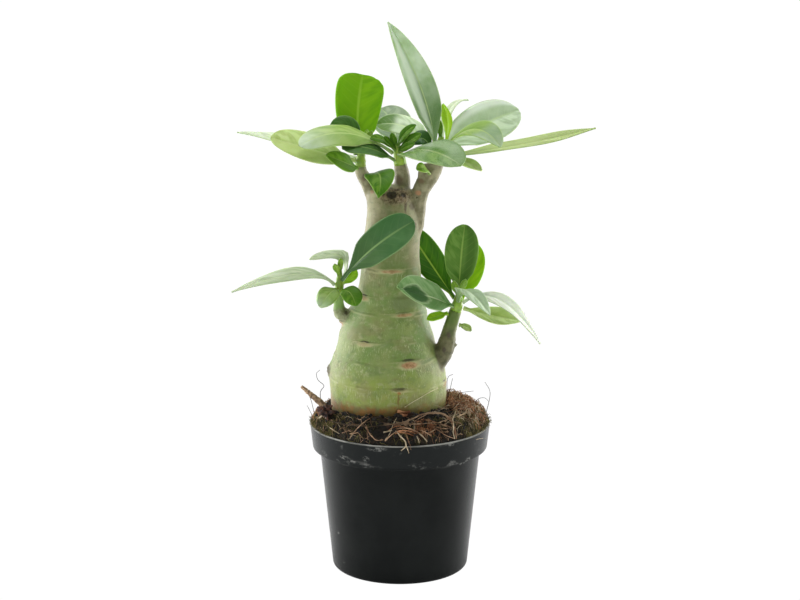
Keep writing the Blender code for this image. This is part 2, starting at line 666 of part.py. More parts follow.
def shoot_axis(shoot):
    """Rows of x, y, z and radius up a whole shoot, wood and green."""
    wood = WOOD[shoot]
    radius = wood[-1][3]
    return np.array([*wood, (*GREEN[shoot], GREEN_TAPER * radius)], dtype=float)


def seat_of(leaf, sink=0.0):
    """Where a leaf's petiole meets its shoot, on the side that the leaf leaves by."""
    axis = shoot_axis(leaf.shoot)
    x, y, radius = (np.interp(leaf.height, axis[:, 2], axis[:, k]) for k in (0, 1, 3))
    centre = Vector((x, y, leaf.height))
    outward = Vector(leaf.bend) - centre
    outward.z = 0
    return centre + outward.normalized() * ((radius + SEAT) if not sink else radius * (1 - sink))


def half_width(leaf, t):
    """Half the blade's width at a share of its length, never less than the petiole's."""
    past = leaf.point * leaf.peak / (1 - leaf.peak)
    swell = (t / leaf.peak) ** past * ((1 - t) / (1 - leaf.peak)) ** leaf.point if 0 < t < 1 else 0
    least = PETIOLE_WIDTH + (leaf.end - PETIOLE_WIDTH) * t
    narrow = min(1, (t / 0.3) ** 0.7)
    return 0.5 * max(least, leaf.width * swell * narrow)


def leaf_point(leaf, base, t, s):
    """A point of the blade's middle surface: t along the midrib, s from edge to edge."""
    bend, tip = Vector(leaf.bend), Vector(leaf.tip)
    spine = base * (1 - t) ** 2 + bend * 2 * t * (1 - t) + tip * t * t
    along = ((bend - base) * (1 - t) + (tip - bend) * t).normalized()
    face = Vector(leaf.face).lerp(Vector(leaf.face_tip or leaf.face), t)
    side = along.cross(face).normalized()
    up = side.cross(along)
    fold = math.radians(leaf.fold)
    half = half_width(leaf, t)
    ripple = leaf.wave * s * s * math.sin(9 * t + 2 * s + len(leaf.name)) * min(1, half / 5)
    return spine + side * (s * half * math.cos(fold)) + up * (abs(s) * half * math.sin(fold) + ripple)


def blade(leaf, base, group, name):
    """A leaf as a bent sheet with its thickness, thicker at the petiole."""
    length = (Vector(leaf.tip) - base).length
    along, across = (9, 4) if length > 32 else (7, 4) if leaf.width > 9 else (5, 2)
    bm = bmesh.new()
    bmesh.ops.create_grid(bm, x_segments=along, y_segments=across, size=1)
    share = {}
    for vertex in bm.verts:
        u, s = (vertex.co.x + 1) / 2, -vertex.co.y
        t = u - 0.09 * math.sin(2 * math.pi * u)
        share[vertex.index] = t
        vertex.co = (leaf_point(leaf, base, t, s) - base) * MM
    bmesh.ops.triangulate(bm, faces=bm.faces)
    mesh = bpy.data.meshes.new(name)
    bm.to_mesh(mesh)
    bm.free()
    obj = add_object(name, mesh, group, leaf.tone)
    obj.location = base * MM
    stout = obj.vertex_groups.new(name="stout")
    for index, t in share.items():
        thick = max(BLADE, PETIOLE_DEPTH * (1 - t / 0.35))
        stout.add([index], thick / PETIOLE_DEPTH, "REPLACE")
    shell = obj.modifiers.new("thickness", "SOLIDIFY")
    shell.thickness = PETIOLE_DEPTH * MM
    shell.offset = 0
    shell.vertex_group = "stout"
    shell.use_rim = True
    return obj


def make_leaves(plant, parts):
    for leaf in LEAVES:
        blade(leaf, seat_of(leaf), parts, leaf.name).parent = plant


def make_tips(plant, parts, cutters):
    """The green end of each shoot, with its young leaves."""
    for shoot in WOOD:
        axis = shoot_axis(shoot)
        start, end = axis[-2], axis[-1]
        last = np.array(smooth_path(WOOD[shoot], 2))[-2:, :3]
        rise = (last[1] - last[0]) / np.linalg.norm(last[1] - last[0])
        foot = np.array([*(start[:3] + rise * GAP), start[3] * 0.93])
        collar = np.array([*(start[:3] + rise * (GAP + 1.2)), start[3] * 0.9])
        neck = collar + (end - collar) * 0.7
        pieces = [tube(shoot + "_green", [foot, collar, neck, end], cutters, resolution=2)]
        for leaf in YOUNG:
            if leaf.shoot == shoot:
                source = blade(leaf, seat_of(leaf, sink=0.7), cutters, "young")
                solid = evaluated_mesh(source)
                solid.transform(Matrix.Translation(source.location))
                bpy.data.objects.remove(source, do_unlink=True)
                pieces.append(add_object("young", solid, cutters))
        fuse(shoot + "_tip", pieces, parts, "shoot_green").parent = plant


def main():
    clear_scene()
    parts = new_collection("potted_desert_rose")
    cutters = new_collection("cutters")
    plant = make_plant_axis(parts)
    make_pot(parts, cutters)
    make_caudex(plant, parts, cutters)
    soil = make_soil(plant, parts, cutters)
    roots = make_roots(soil, parts, cutters)
    make_litter(soil, roots, parts)
    make_tips(plant, parts, cutters)
    make_leaves(plant, parts)


if __name__ == "__main__":
    main()
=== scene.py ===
# %% [markdown]
# # A potted desert rose
# A desert rose stores water in a swollen trunk, the caudex. This young plant has three pruned
# branches at its top, two side shoots, thirty-five leathery leaves, and a black nursery pot
# full of fibrous soil. The solids of the part are already built and packed, so this script only
# makes the surface that the eye sees: it loads those solids, takes finer pieces from them or
# models new ones over them, and gives each its finish.

# %% Load the solids
import math
import random
from dataclasses import dataclass
from functools import reduce

import bpy
import numpy as np
from mathutils import Matrix, Vector, noise
from mathutils.bvhtree import BVHTree


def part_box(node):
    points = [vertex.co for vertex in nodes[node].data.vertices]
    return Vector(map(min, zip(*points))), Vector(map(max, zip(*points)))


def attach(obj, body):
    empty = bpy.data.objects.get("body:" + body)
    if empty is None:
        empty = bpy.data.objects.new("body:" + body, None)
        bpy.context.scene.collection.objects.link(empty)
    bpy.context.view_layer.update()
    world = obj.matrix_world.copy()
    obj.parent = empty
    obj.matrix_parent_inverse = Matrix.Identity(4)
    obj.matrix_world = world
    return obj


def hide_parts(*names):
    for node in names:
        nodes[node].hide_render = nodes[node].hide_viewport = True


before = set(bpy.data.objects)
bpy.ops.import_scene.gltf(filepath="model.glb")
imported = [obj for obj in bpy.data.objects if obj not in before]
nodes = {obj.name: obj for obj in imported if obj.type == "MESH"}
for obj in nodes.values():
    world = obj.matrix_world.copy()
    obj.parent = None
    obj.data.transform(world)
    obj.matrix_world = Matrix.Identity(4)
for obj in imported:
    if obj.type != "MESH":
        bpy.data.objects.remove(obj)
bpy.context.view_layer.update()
MM = 0.001

# %% [markdown]
# ## The camera
# The picture was taken from a little above the pot's rim, from about a metre away. A long lens
# keeps the pot's sides nearly parallel. The plant stands in the picture's middle, so a camera
# straight in front, tilted down, is all that the framing needs.

# %% Place the camera
PICTURE_WIDTH = 800
PICTURE_HEIGHT = 600
FOCAL_PIXELS = 1955
SENSOR = 36.0
CAMERA_PLACE = (0, -1.1, 0.405)
CAMERA_TILT = 77.4

bpy.ops.object.camera_add(location=CAMERA_PLACE, rotation=(math.radians(CAMERA_TILT), 0, 0))
camera = bpy.context.object
camera.name = "camera"
camera.data.sensor_width = SENSOR
camera.data.lens = FOCAL_PIXELS * SENSOR / PICTURE_WIDTH
bpy.context.scene.camera = camera
print("lens", round(camera.data.lens, 1), "mm")

# %% [markdown]
# ## Small helpers
# Operators act on whatever is selected, so each step first picks one object and nothing else.
# A finished piece has its place in its mesh, rides on the part's one body, and hides the solids
# that it stands for.

# %% Pick, apply and finish
def pick(piece):
    """Make one object the only selected and active one, in object mode."""
    if bpy.context.object and bpy.context.object.mode != "OBJECT":
        bpy.ops.object.mode_set(mode="OBJECT")
    bpy.ops.object.select_all(action="DESELECT")
    piece.select_set(True)
    bpy.context.view_layer.objects.active = piece


def apply_modifier(piece, kind, **settings):
    """Add a modifier with its settings and apply it."""
    pick(piece)
    modifier = piece.modifiers.new(kind.lower(), kind)
    for name, value in settings.items():
        setattr(modifier, name, value)
    bpy.ops.object.modifier_apply(modifier=modifier.name)


def edit_all(piece, *steps):
    """Run mesh operators on everything selected in edit mode."""
    pick(piece)
    bpy.ops.object.mode_set(mode="EDIT")
    bpy.ops.mesh.select_all(action="SELECT")
    for operator, settings in steps:
        operator(**settings)
    bpy.ops.object.mode_set(mode="OBJECT")


def keep_values(piece, name, values):
    """Store one number for each point of a piece."""
    attribute = piece.data.attributes.new(name, "FLOAT", "POINT")
    attribute.data.foreach_set("value", values)


MERGE = (bpy.ops.mesh.remove_doubles, {"threshold": 1e-6})
FACE_OUT = (bpy.ops.mesh.normals_make_consistent, {"inside": False})


def finish_piece(piece, finish, slot, *stands_for):
    """Give a piece its finish and smooth shading, and hand it to the frame."""
    pick(piece)
    bpy.ops.object.transform_apply(location=True, rotation=True, scale=True)
    piece.data.materials.clear()
    piece.data.materials.append(finish)
    bpy.ops.object.shade_smooth()
    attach(piece, "root")
    if stands_for:
        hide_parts(*stands_for)
    print(piece.name, len(piece.data.polygons), "faces")
    return piece


# %% [markdown]
# ## Shader building blocks
# A finish is a tree of nodes. Writing one in code is shorter with a few helpers that add a node
# and join its sockets. Sums on masks come first, then noise and soft steps, then colours.

# %% Node helpers
ORIGIN = (0, 0, 0)


def spaced(label):
    """A socket's own name, from one that Python allows."""
    return label.replace("_", " ")


class Tree:
    """A node tree with short ways to add and join nodes."""

    def __init__(self, tree):
        self.tree = tree

    def put(self, socket, value):
        """Join a socket to another node's output, or give it a value of its own."""
        if isinstance(value, bpy.types.NodeSocket):
            self.tree.links.new(value, socket)
        elif socket.type == "RGBA":
            socket.default_value = (*value, 1)
        else:
            socket.default_value = value

    def add(self, kind, inputs=(), **settings):
        """A node with its settings and, by socket name or number, its inputs."""
        made = self.tree.nodes.new(kind)
        for name, value in settings.items():
            setattr(made, name, value)
        for socket, value in dict(inputs).items():
            self.put(made.inputs[socket], value)
        return made

    def use(self, group, **inputs):
        """Place a node group and give back its outputs."""
        placed = self.add("ShaderNodeGroup", node_tree=bpy.data.node_groups[group])
        for label, value in inputs.items():
            self.put(placed.inputs[spaced(label)], value)
        return placed.outputs

    def math(self, operation, a, b=0.0):
        """The result of one sum on two numbers or sockets."""
        return self.add("ShaderNodeMath", {0: a, 1: b}, operation=operation).outputs[0]

    def times(self, *values):
        return reduce(lambda a, b: self.math("MULTIPLY", a, b), values)

    def plus(self, *values):
        return reduce(lambda a, b: self.math("ADD", a, b), values)

    def most(self, *values):
        return reduce(lambda a, b: self.math("MAXIMUM", a, b), values)

    def minus(self, a, b):
        return self.math("SUBTRACT", a, b)

    def apart(self, a, b):
        """How far two numbers are from each other."""
        return self.math("ABSOLUTE", self.minus(a, b))

    def vector(self, operation, a, b, result=0):
        """The result of one sum on two vectors."""
        return self.add("ShaderNodeVectorMath", {0: a, 1: b}, operation=operation).outputs[result]

    def parts(self, vector):
        """The x, y and z of a vector."""
        return self.add("ShaderNodeSeparateXYZ", {0: vector}).outputs

    def scaled(self, position, scale):
        """A position stretched along its axes."""
        return self.add("ShaderNodeMapping", {"Vector": position, "Scale": scale}).outputs[0]

    def kept(self, name):
        """A value that was stored for each point of a piece."""
        return self.add("ShaderNodeAttribute", attribute_name=name).outputs["Fac"]

    def ramp(self, value, low, high, to_low=0.0, to_high=1.0):
        """A soft step of a value between two limits."""
        limits = {"Value": value, "From Min": low, "From Max": high, "To Min": to_low, "To Max": to_high}
        return self.add("ShaderNodeMapRange", limits, interpolation_type="SMOOTHSTEP").outputs[0]

    def fall(self, value, low, high):
        """A soft step down, from 1 to 0."""
        return self.ramp(value, low, high, 1.0, 0.0)

    def grain(self, position, scale, detail=4.0, roughness=0.55):
        """Soft noise from 0 to 1."""
        inputs = {"Vector": position, "Scale": scale, "Detail": detail, "Roughness": roughness}
        return self.add("ShaderNodeTexNoise", inputs).outputs["Fac"]

    def clouds(self, position, scale, low, high, full=1.0, detail=4.0, roughness=0.55):
        """Soft-edged patches of noise, from 0 to their full strength."""
        return self.ramp(self.grain(position, scale, detail, roughness), low, high, 0.0, full)

    def push(self, position, scale, amounts, detail=2.0):
        """A random push to every side, which makes the edge of a mask ragged."""
        noise_node = self.add("ShaderNodeTexNoise", {"Vector": position, "Scale": scale, "Detail": detail})
        centred = self.vector("SUBTRACT", noise_node.outputs["Color"], (0.5, 0.5, 0.5))
        return self.scaled(centred, amounts)

    def mix(self, share, a, b):
        """A colour between two, by a share."""
        return self.add("ShaderNodeMix", {"Factor": share, 6: a, 7: b}, data_type="RGBA").outputs[2]


# %% [markdown]
# A node group is a small tool for finishes: it takes a position or a map and gives back masks.
# Soft-edged patches at a known place are one such tool: leaf scars, stains and chalky marks all
# use the distance from a centre, measured in the patch's own widths. A second gives the slow and
# quick changes that any grown surface has.

# %% Groups
class Group(Tree):
    """A shader node group, from its named inputs to its named masks."""

    def __init__(self, name, **inputs):
        super().__init__(bpy.data.node_groups.new(name, "ShaderNodeTree"))
        for label, default in inputs.items():
            kind = "NodeSocketFloat" if isinstance(default, float) else "NodeSocketVector"
            socket = self.tree.interface.new_socket(spaced(label), in_out="INPUT", socket_type=kind)
            socket.default_value = default
        self.given = self.add("NodeGroupInput").outputs

    def give(self, **masks):
        """End the group: each mask goes to an output of its own name."""
        for label in masks:
            self.tree.interface.new_socket(spaced(label), in_out="OUTPUT", socket_type="NodeSocketFloat")
        out = self.add("NodeGroupOutput")
        for label, mask in masks.items():
            self.put(out.inputs[spaced(label)], mask)


def make_spot_group():
    """A soft ellipsoid patch round a centre."""
    spot = Group("spot", Position=ORIGIN, Centre=ORIGIN, Size=(1, 1, 1), Edge=0.5)
    away = spot.vector("SUBTRACT", spot.given["Position"], spot.given["Centre"])
    away = spot.vector("DIVIDE", away, spot.given["Size"])
    distance = spot.vector("LENGTH", away, ORIGIN, result=1)
    spot.give(Mask=spot.fall(distance, spot.minus(1.0, spot.given["Edge"]), 1.0))


def make_mottle_group():
    """Slow patches and fine grain, each from 0 to 1."""
    mottle = Group("mottle", Position=ORIGIN, Patch_Size=60.0, Grain_Size=900.0)
    place = mottle.given["Position"]
    patches = mottle.clouds(place, mottle.given["Patch Size"], 0.35, 0.65, detail=3.0)
    mottle.give(Patches=patches, Grain=mottle.grain(place, mottle.given["Grain Size"], 5.0, 0.65))


make_spot_group()
make_mottle_group()

# %% [markdown]
# A finish is painted like a model: a ground of two tones, then layer over layer, each where its
# mask says. What never changes over the surface sits on the shader's own sockets. Only a finish
# that gives the sizes of its patches and its grain has the mottle.

# %% Finishes
class Finish(Tree):
    """A material with one Principled shader, painted in layers."""

    def __init__(self, name, roughness, patch_size=None, grain_size=None, **fixed):
        self.material = bpy.data.materials.new(name)
        self.material.use_nodes = True
        super().__init__(self.material.node_tree)
        self.shader = self.tree.nodes["Principled BSDF"]
        for label, value in {"roughness": roughness, **fixed}.items():
            self.put(self.shader.inputs[spaced(label).title().replace("Ior", "IOR")], value)
        self.position = self.add("ShaderNodeTexCoord").outputs["Object"]
        if patch_size:
            self.patches, self.fine = self.use("mottle", Position=self.position, Patch_Size=patch_size,
                                               Grain_Size=grain_size)
        self.colour = None

    def ground(self, dark, light, share=None):
        """The first layer: two tones, in slow patches if no share is given."""
        self.colour = self.mix(share or self.patches, dark, light)

    def paint(self, mask, tone, strength=1.0):
        """Lay a tone over the colour so far, where a mask says."""
        share = mask if strength == 1 else self.times(mask, strength)
        self.colour = self.mix(share, self.colour, tone)

    def spot(self, centre, size, edge, position=None):
        """The mask of a soft spot, whose centre and size are in millimetres."""
        return self.use("spot", Position=position or self.position, Centre=centre * MM,
                        Size=Vector(size) * MM, Edge=edge)["Mask"]

    def dress(self, height, depth, roughness=None):
        """Join the colour, a bump and a roughness to the shader, and give back the material."""
        bump = self.add("ShaderNodeBump", {"Height": height, "Distance": depth, "Strength": 1.0})
        self.put(self.shader.inputs["Base Color"], self.colour)
        self.put(self.shader.inputs["Normal"], bump.outputs[0])
        if roughness is not None:
            self.put(self.shader.inputs["Roughness"], roughness)
        return self.material


# %% [markdown]
# ## The plant's own lean
# The whole plant leans a little to the right in its upright pot. All its points are given in the
# plant's own frame, in millimetres, and this one matrix puts them in the pot.

# %% Lean the plant
PLANT_LEAN = 0.8
PLANT_SHIFT = -2.2
to_pot = Matrix.Translation((PLANT_SHIFT, 0, 0)) @ Matrix.Rotation(math.radians(PLANT_LEAN), 4, "Y")
from_pot = to_pot.inverted()

# %% [markdown]
# ## The stems
# Each shoot is a woody stem that ends in a soft green tip. The rows give points along its axis
# and its radius there, the same as in the solids, because the leaves sit on them.

# %% Stem routes
WOOD = {
    "crown_left": ((-11, 0, 205, 6), (-14.5, 0, 217, 5.2), (-19, 0, 226.5, 4.4), (-23, 0, 233, 3.7),
                   (-23.5, 0, 237, 3.4)),
    "crown_middle": ((-2, 3, 208, 6.5), (0, 3, 222, 5.2), (0.3, 3, 231, 4.6), (-1, 3, 238, 4.0)),
    "crown_right": ((4, -1, 192, 6), (8.8, -1, 205, 4.8), (9.4, -1, 216, 4.8), (11.2, -1, 224, 5),
                    (15.5, -0.5, 231, 5.4), (18.6, 0, 237, 4.8), (20.4, 0, 243, 3.9)),
    "left_shoot": ((-20, -2, 147, 6), (-29.5, -2, 149, 4.8), (-34.3, -3, 152, 4.2), (-35.3, -4, 158, 3.1),
                   (-35, -5, 166, 2.8)),
    "right_shoot": ((17, -6, 117, 6), (22.5, -6.5, 124, 5.2), (26.5, -7, 133, 5.5), (28.3, -7.5, 142, 4.4),
                    (30.5, -8, 151, 3.9), (32, -8, 155.5, 3.7)),
}
GREEN = {
    "crown_left": (-22.6, 0.5, 248),
    "crown_middle": (-3.4, 2.2, 250),
    "crown_right": (22, 0.8, 254),
    "left_shoot": (-34.6, -5, 177),
    "right_shoot": (34, -9, 167),
}
GREEN_TAPER = 0.4


def shoot_axis(shoot):
    """Rows of x, y, z and radius up a whole shoot, wood and green."""
    wood = WOOD[shoot]
    return np.array([*wood, (*GREEN[shoot], GREEN_TAPER * wood[-1][3])], dtype=float)


# %% [markdown]
# ## What a leaf is
# A leaf's midrib is a curve from its seat on the stem, over a bend, to its tip. The blade spreads
# to both sides of it, folded up a little like an open book, with a slow wave along its edge. Each
# row holds the same few facts as the leaf's solid, so the fine leaf keeps its place and form.

# %% The leaves
@dataclass
class Leaf:
    """One leaf: its height on its shoot, two points of its midrib, and its blade's shape."""

    height: float
    bend: tuple
    tip: tuple
    width: float
    face: tuple
    face_tip: tuple = None
    look: str = "green"
    fold: float = 6.0
    peak: float = 0.6
    point: float = 0.6
    end: float = 1.2
    wave: float = 0.5
    notch: float = 0.0
    cup: float = 0.0
    curl: float = 0.0
    stalk: float = 0.0


LEAVES = {
    "crown_left": {
        "upright": Leaf(244, (-28, 15, 261), (-23, 16, 287.5), 27.5, (0.05, -1, 0.1), look="glowing",
                        fold=3, peak=0.8, point=0.12, end=19, notch=0.5),
        "arched": Leaf(243, (-29.5, 0.5, 268), (-40, 0, 253), 15, (0.35, -0.9, 0.2), (0.1, -0.7, 0.7),
                       look="shadowed"),
        "broad": Leaf(240, (-47, -14, 246), (-73.5, -16, 254.5), 22, (0.1, -0.62, 0.78), look="straw",
                      fold=10, peak=0.62, point=0.5),
        "small": Leaf(236, (-30, -13, 240), (-42.5, -19, 245.5), 12, (0.1, -0.75, 0.65), look="plain",
                      peak=0.55),
        "long": Leaf(240.8, (-58, 22, 246.5), (-96, 30, 251), 16, (0, -0.15, 1), look="pale_sheen",
                     fold=12, point=0.9),
        "hanging": Leaf(231, (-9, -20, 242), (-13, -29, 223.5), 17, (0, -0.2, 1), (0, -1, 0.35),
                        peak=0.5, point=0.9),
    },
    "crown_middle": {
        "left": Leaf(244.5, (-32, -16, 266.5), (-57, -26, 251.5), 19.5, (0, -0.55, 0.83), look="fresh",
                     fold=-8, peak=0.62, point=0.5, stalk=0.13),
        "under": Leaf(240.5, (-19, -15, 252.5), (-33.5, -20, 249.5), 16, (0, -0.55, 0.83), look="shadowed"),
        "front": Leaf(243, (12, -30, 256), (32, -47, 245), 25, (0.12, -0.62, 0.77), look="sheen",
                      point=0.42, end=3, stalk=-0.15),
        "back": Leaf(245.5, (-4, 32, 259.5), (-13, 46, 264), 24, (0, -0.55, 0.84), look="misty"),
    },
    "crown_right": {
        "tall": Leaf(247, (14.5, -11, 283), (-9, -10, 319), 17.5, (0.25, -1, 0.1), look="silver",
                     fold=22, peak=0.5, point=0.85),
        "bright": Leaf(250, (28, 3, 263), (22.5, 3, 272.5), 9.5, (-0.85, -0.5, 0.1), look="sunny"),
        "inward": Leaf(248, (3, 10, 263), (-15, 14, 258.5), 16, (0, -0.6, 0.8), look="inward"),
        "broad": Leaf(247, (43, 26, 258), (68, 40, 265), 27, (0.1, -0.75, 0.65), look="rimmed",
                      point=0.5, end=3),
        "curled": Leaf(247.5, (40, -16, 271), (54, -30, 253), 19, (0, -0.5, 0.85), (0.2, -0.45, 0.87),
                       look="curled"),
        "long": Leaf(243.5, (66, -13, 250), (108, -13, 262), 13.5, (0.05, -0.3, 0.95), look="olive",
                     fold=10, peak=0.5, point=0.95),
        "edge": Leaf(251, (25, 24, 274), (38, 30, 271.5), 8, (-0.1, 0.2, 0.97), look="pale_sheen"),
        "small": Leaf(241.5, (35, -18, 245), (44.5, -22, 238.5), 7, (0, -0.6, 0.8), look="straw"),
        "dark": Leaf(246, (12, -1, 258), (6.5, -3, 250), 11, (0, -0.7, 0.7), look="deep"),
        "low": Leaf(234, (13, -14, 240), (8, -14, 237.5), 7, (0, -0.7, 0.7), look="lime"),
    },
    "left_shoot": {
        "big": Leaf(172, (-19, -31, 196), (7, -33, 211.5), 21, (0.1, -0.85, 0.5), look="deep",
                    fold=8, peak=0.7, point=0.4, end=3, stalk=0.1),
        "long": Leaf(169, (-50, -12, 184.5), (-95, -25, 168), 11, (0, -0.35, 0.95), (0.1, -0.5, 0.85),
                     look="pale_sheen", peak=0.5, point=0.95),
        "folded": Leaf(173, (-26, -2, 191.5), (-52, -8, 184), 9, (-0.8, -0.3, 0.5), (-0.4, -0.5, 0.75),
                       look="pale_sheen"),
        "round_left": Leaf(166.5, (-39, -15, 168.5), (-45.5, -19, 158.5), 12, (-0.2, -0.8, 0.55),
                           look="fresh", point=0.45, end=3),
        "round_right": Leaf(165.5, (-28, -17, 170), (-25, -21, 160), 12, (0.2, -0.8, 0.55),
                            point=0.45, end=3),
        "back": Leaf(168.5, (-30, 6, 170), (-25.5, 9, 175), 8, (0, -0.8, 0.6), look="backlit"),
    },
    "right_shoot": {
        "upright": Leaf(163.5, (34, -3, 186), (36.5, -1, 204), 19.5, (-0.05, -0.97, 0.2), look="shiny",
                        fold=8, point=0.5, end=2),
        "behind": Leaf(162, (17, 15, 178), (3, 38, 195.5), 20, (0.1, -0.8, 0.75), look="shaded"),
        "backlit": Leaf(159.5, (43, 9, 176), (41, 18, 190.5), 16, (0.1, -0.95, 0.3), look="backlit"),
        "cupped": Leaf(158.5, (15.5, -30, 169.5), (-3, -40, 174.5), 20, (0, -0.8, 0.6), look="cupped",
                       fold=15, point=0.45, end=3, cup=24, curl=2.5),
        "white": Leaf(161.5, (33.5, -26, 181), (50, -39, 160), 12, (0.3, -0.4, 0.85), look="painted_sheen"),
        "arching": Leaf(160.5, (56, -20, 177), (79, -34, 142.5), 12, (0.3, -0.4, 0.85), look="white_sheen",
                        peak=0.5, point=0.95),
        "level": Leaf(157, (51.5, -14, 153), (69.5, -18, 152), 14, (0, -0.5, 0.85), look="straw",
                      fold=12, point=0.7),
        "tucked": Leaf(154, (21.8, -13, 153.5), (15.5, -16, 151.5), 6.5, (0, -0.6, 0.8), look="backlit"),
        "oval": Leaf(147, (37, -11, 147.5), (41, -13, 144.5), 5, (0, -0.5, 0.85), look="olive"),
    },
}
YOUNG = {
    "crown_left": (Leaf(246, (-20, 0, 253), (-17, -1, 257), 4, (0.3, -0.8, 0.5)),
                   Leaf(246, (-21, 4, 253), (-20, 6, 257), 3.5, (-0.4, -0.7, 0.5))),
    "crown_middle": (Leaf(247, (-1, -4, 256), (7.5, -6, 261.5), 6, (-0.4, -0.8, 0.5)),
                     Leaf(248, (-5, -2, 252.5), (-6, -4, 256.5), 4, (-0.3, -0.9, 0.2)),
                     Leaf(246, (3, -7, 252), (10.5, -9, 257), 6.5, (-0.4, -0.8, 0.5)),
                     Leaf(245, (1, -8, 249), (7, -11, 251.5), 5, (-0.3, -0.8, 0.5)),
                     Leaf(245, (-11, -5, 255), (-18, -8, 253.5), 6, (0.1, -0.7, 0.7)),
                     Leaf(246, (-8, -5, 252), (-10.5, -7, 254.5), 4, (0.3, -0.8, 0.5))),
    "crown_right": (Leaf(252, (21.5, 1.5, 259), (20.5, 1, 264), 3.5, (-0.3, -0.9, 0.3)),),
    "left_shoot": (Leaf(174, (-36.5, -9, 179.5), (-37.5, -11.5, 182), 4, (-0.2, -0.9, 0.3)),
                   Leaf(175, (-34.5, -8, 181), (-34, -9.5, 185), 3.5, (0.3, -0.9, 0.2))),
    "right_shoot": (Leaf(164, (31, -13, 170), (30.5, -15, 174), 4.5, (-0.3, -0.9, 0.3)),
                    Leaf(165, (35.5, -13, 171), (37, -15, 175), 4, (0.3, -0.9, 0.3))),
}
print(sum(map(len, LEAVES.values())), "leaves and", sum(map(len, YOUNG.values())), "young ones")

# %% [markdown]
# ## A leaf's form
# The half width swells from the leaf stalk to the blade's widest place and closes to the tip. The
# midrib sinks into the upper side as a narrow channel, and the side veins lift the blade a little
# between them. All of that is one function of two shares: along the midrib, and from edge to edge.
# The wave of each blade starts elsewhere, by the length of its name.

# %% The blade as a function
PETIOLE_WIDTH = 2.2
PETIOLE_DEPTH = 1.5
PETIOLE_END = 0.3
BLADE = 0.8
SEAT = 0.9
RIB_DEPTH = 0.35
RIB_WIDTH = 0.9
VEIN_LIFT = 0.07
VEIN_PITCH = 5.0
VEIN_BEND = 3.5
END_ROUND = 0.15
NOTCH_WIDTH = 0.35
CUP_START = 0.55
CURL_START = 0.72


def seat_of(shoot, leaf, sink=0.0):
    """Where a leaf's stalk meets its shoot, on the side that the leaf leaves by."""
    axis = shoot_axis(shoot)
    x, y, radius = (np.interp(leaf.height, axis[:, 2], axis[:, k]) for k in (0, 1, 3))
    centre = Vector((x, y, leaf.height))
    outward = Vector(leaf.bend) - centre
    outward.z = 0
    return centre + outward.normalized() * ((radius + SEAT) if not sink else radius * (1 - sink))


def past(t, start):
    """The share of the way from a start to the leaf's end, and 0 before the start."""
    return max(0, (t - start) / (1 - start))


def half_width(leaf, t):
    """Half the blade's width at a share of its length, never less than the stalk's."""
    rise = leaf.point * leaf.peak / (1 - leaf.peak)
    swell = (t / leaf.peak) ** rise * ((1 - t) / (1 - leaf.peak)) ** leaf.point if 0 < t < 1 else 0
    least = PETIOLE_WIDTH + (leaf.end - PETIOLE_WIDTH) * t
    narrow = min(1, (max(0, t - leaf.stalk) / PETIOLE_END) ** 0.7)
    return 0.5 * max(least, leaf.width * swell * narrow)


def vein_puff(length, t, s):
    """How high the blade stands between its side veins, which leave the midrib and bend forward."""
    row = (t * length - VEIN_BEND * abs(s) ** 1.3) / VEIN_PITCH
    return VEIN_LIFT * math.sin(math.pi * (row % 1)) * (1 - s * s)


def leaf_point(leaf, base, wave_start, t, s):
    """A point of the blade's middle surface: t along the midrib, s from edge to edge."""
    bend, tip = Vector(leaf.bend), Vector(leaf.tip)
    spine = base * (1 - t) ** 2 + bend * 2 * t * (1 - t) + tip * t * t
    along = ((bend - base) * (1 - t) + (tip - bend) * t).normalized()
    face = Vector(leaf.face).lerp(Vector(leaf.face_tip or leaf.face), t)
    side = along.cross(face).normalized()
    up = side.cross(along)
    fold = math.radians(leaf.fold + leaf.cup * past(t, CUP_START))
    half = half_width(leaf, t)
    across = s * half
    wave = leaf.wave * s * s * math.sin(9 * t + 2 * s + wave_start)
    puff = vein_puff((tip - base).length, t, s)
    rib = -RIB_DEPTH * math.exp(-(across / RIB_WIDTH) ** 2) * min(1, half / 4)
    curl = leaf.curl * past(t, CURL_START) ** 2
    rise = abs(across) * math.sin(fold) + (wave + puff) * min(1, half / 5) + rib + curl
    cap = END_ROUND * leaf.end * (1 - math.sqrt(max(0, 1 - s * s)))
    dip = (leaf.notch * math.exp(-(s / NOTCH_WIDTH) ** 2) + cap) * t ** 8
    return spine + side * (across * math.cos(fold)) + up * rise - along * dip


# %% [markdown]
# ## Modelling a blade
# A blade could be cut from a plane by hand, but thirty-five of them need a rule. So each starts as
# a flat grid in edit mode, is laid on its surface point by point, and gets its wall from a
# Solidify modifier that a vertex group makes stout at the stalk and thin at the edge. Each point
# also remembers whether it lies on the underside, which has a finish of its own.

# %% Model one blade
LONG_LEAF = 30
LONG_GRID = (44, 16)
SHORT_GRID = (26, 10)
END_CROWDING = 0.09
EDGE_THINNING = 0.45
STOUT_END = 0.35


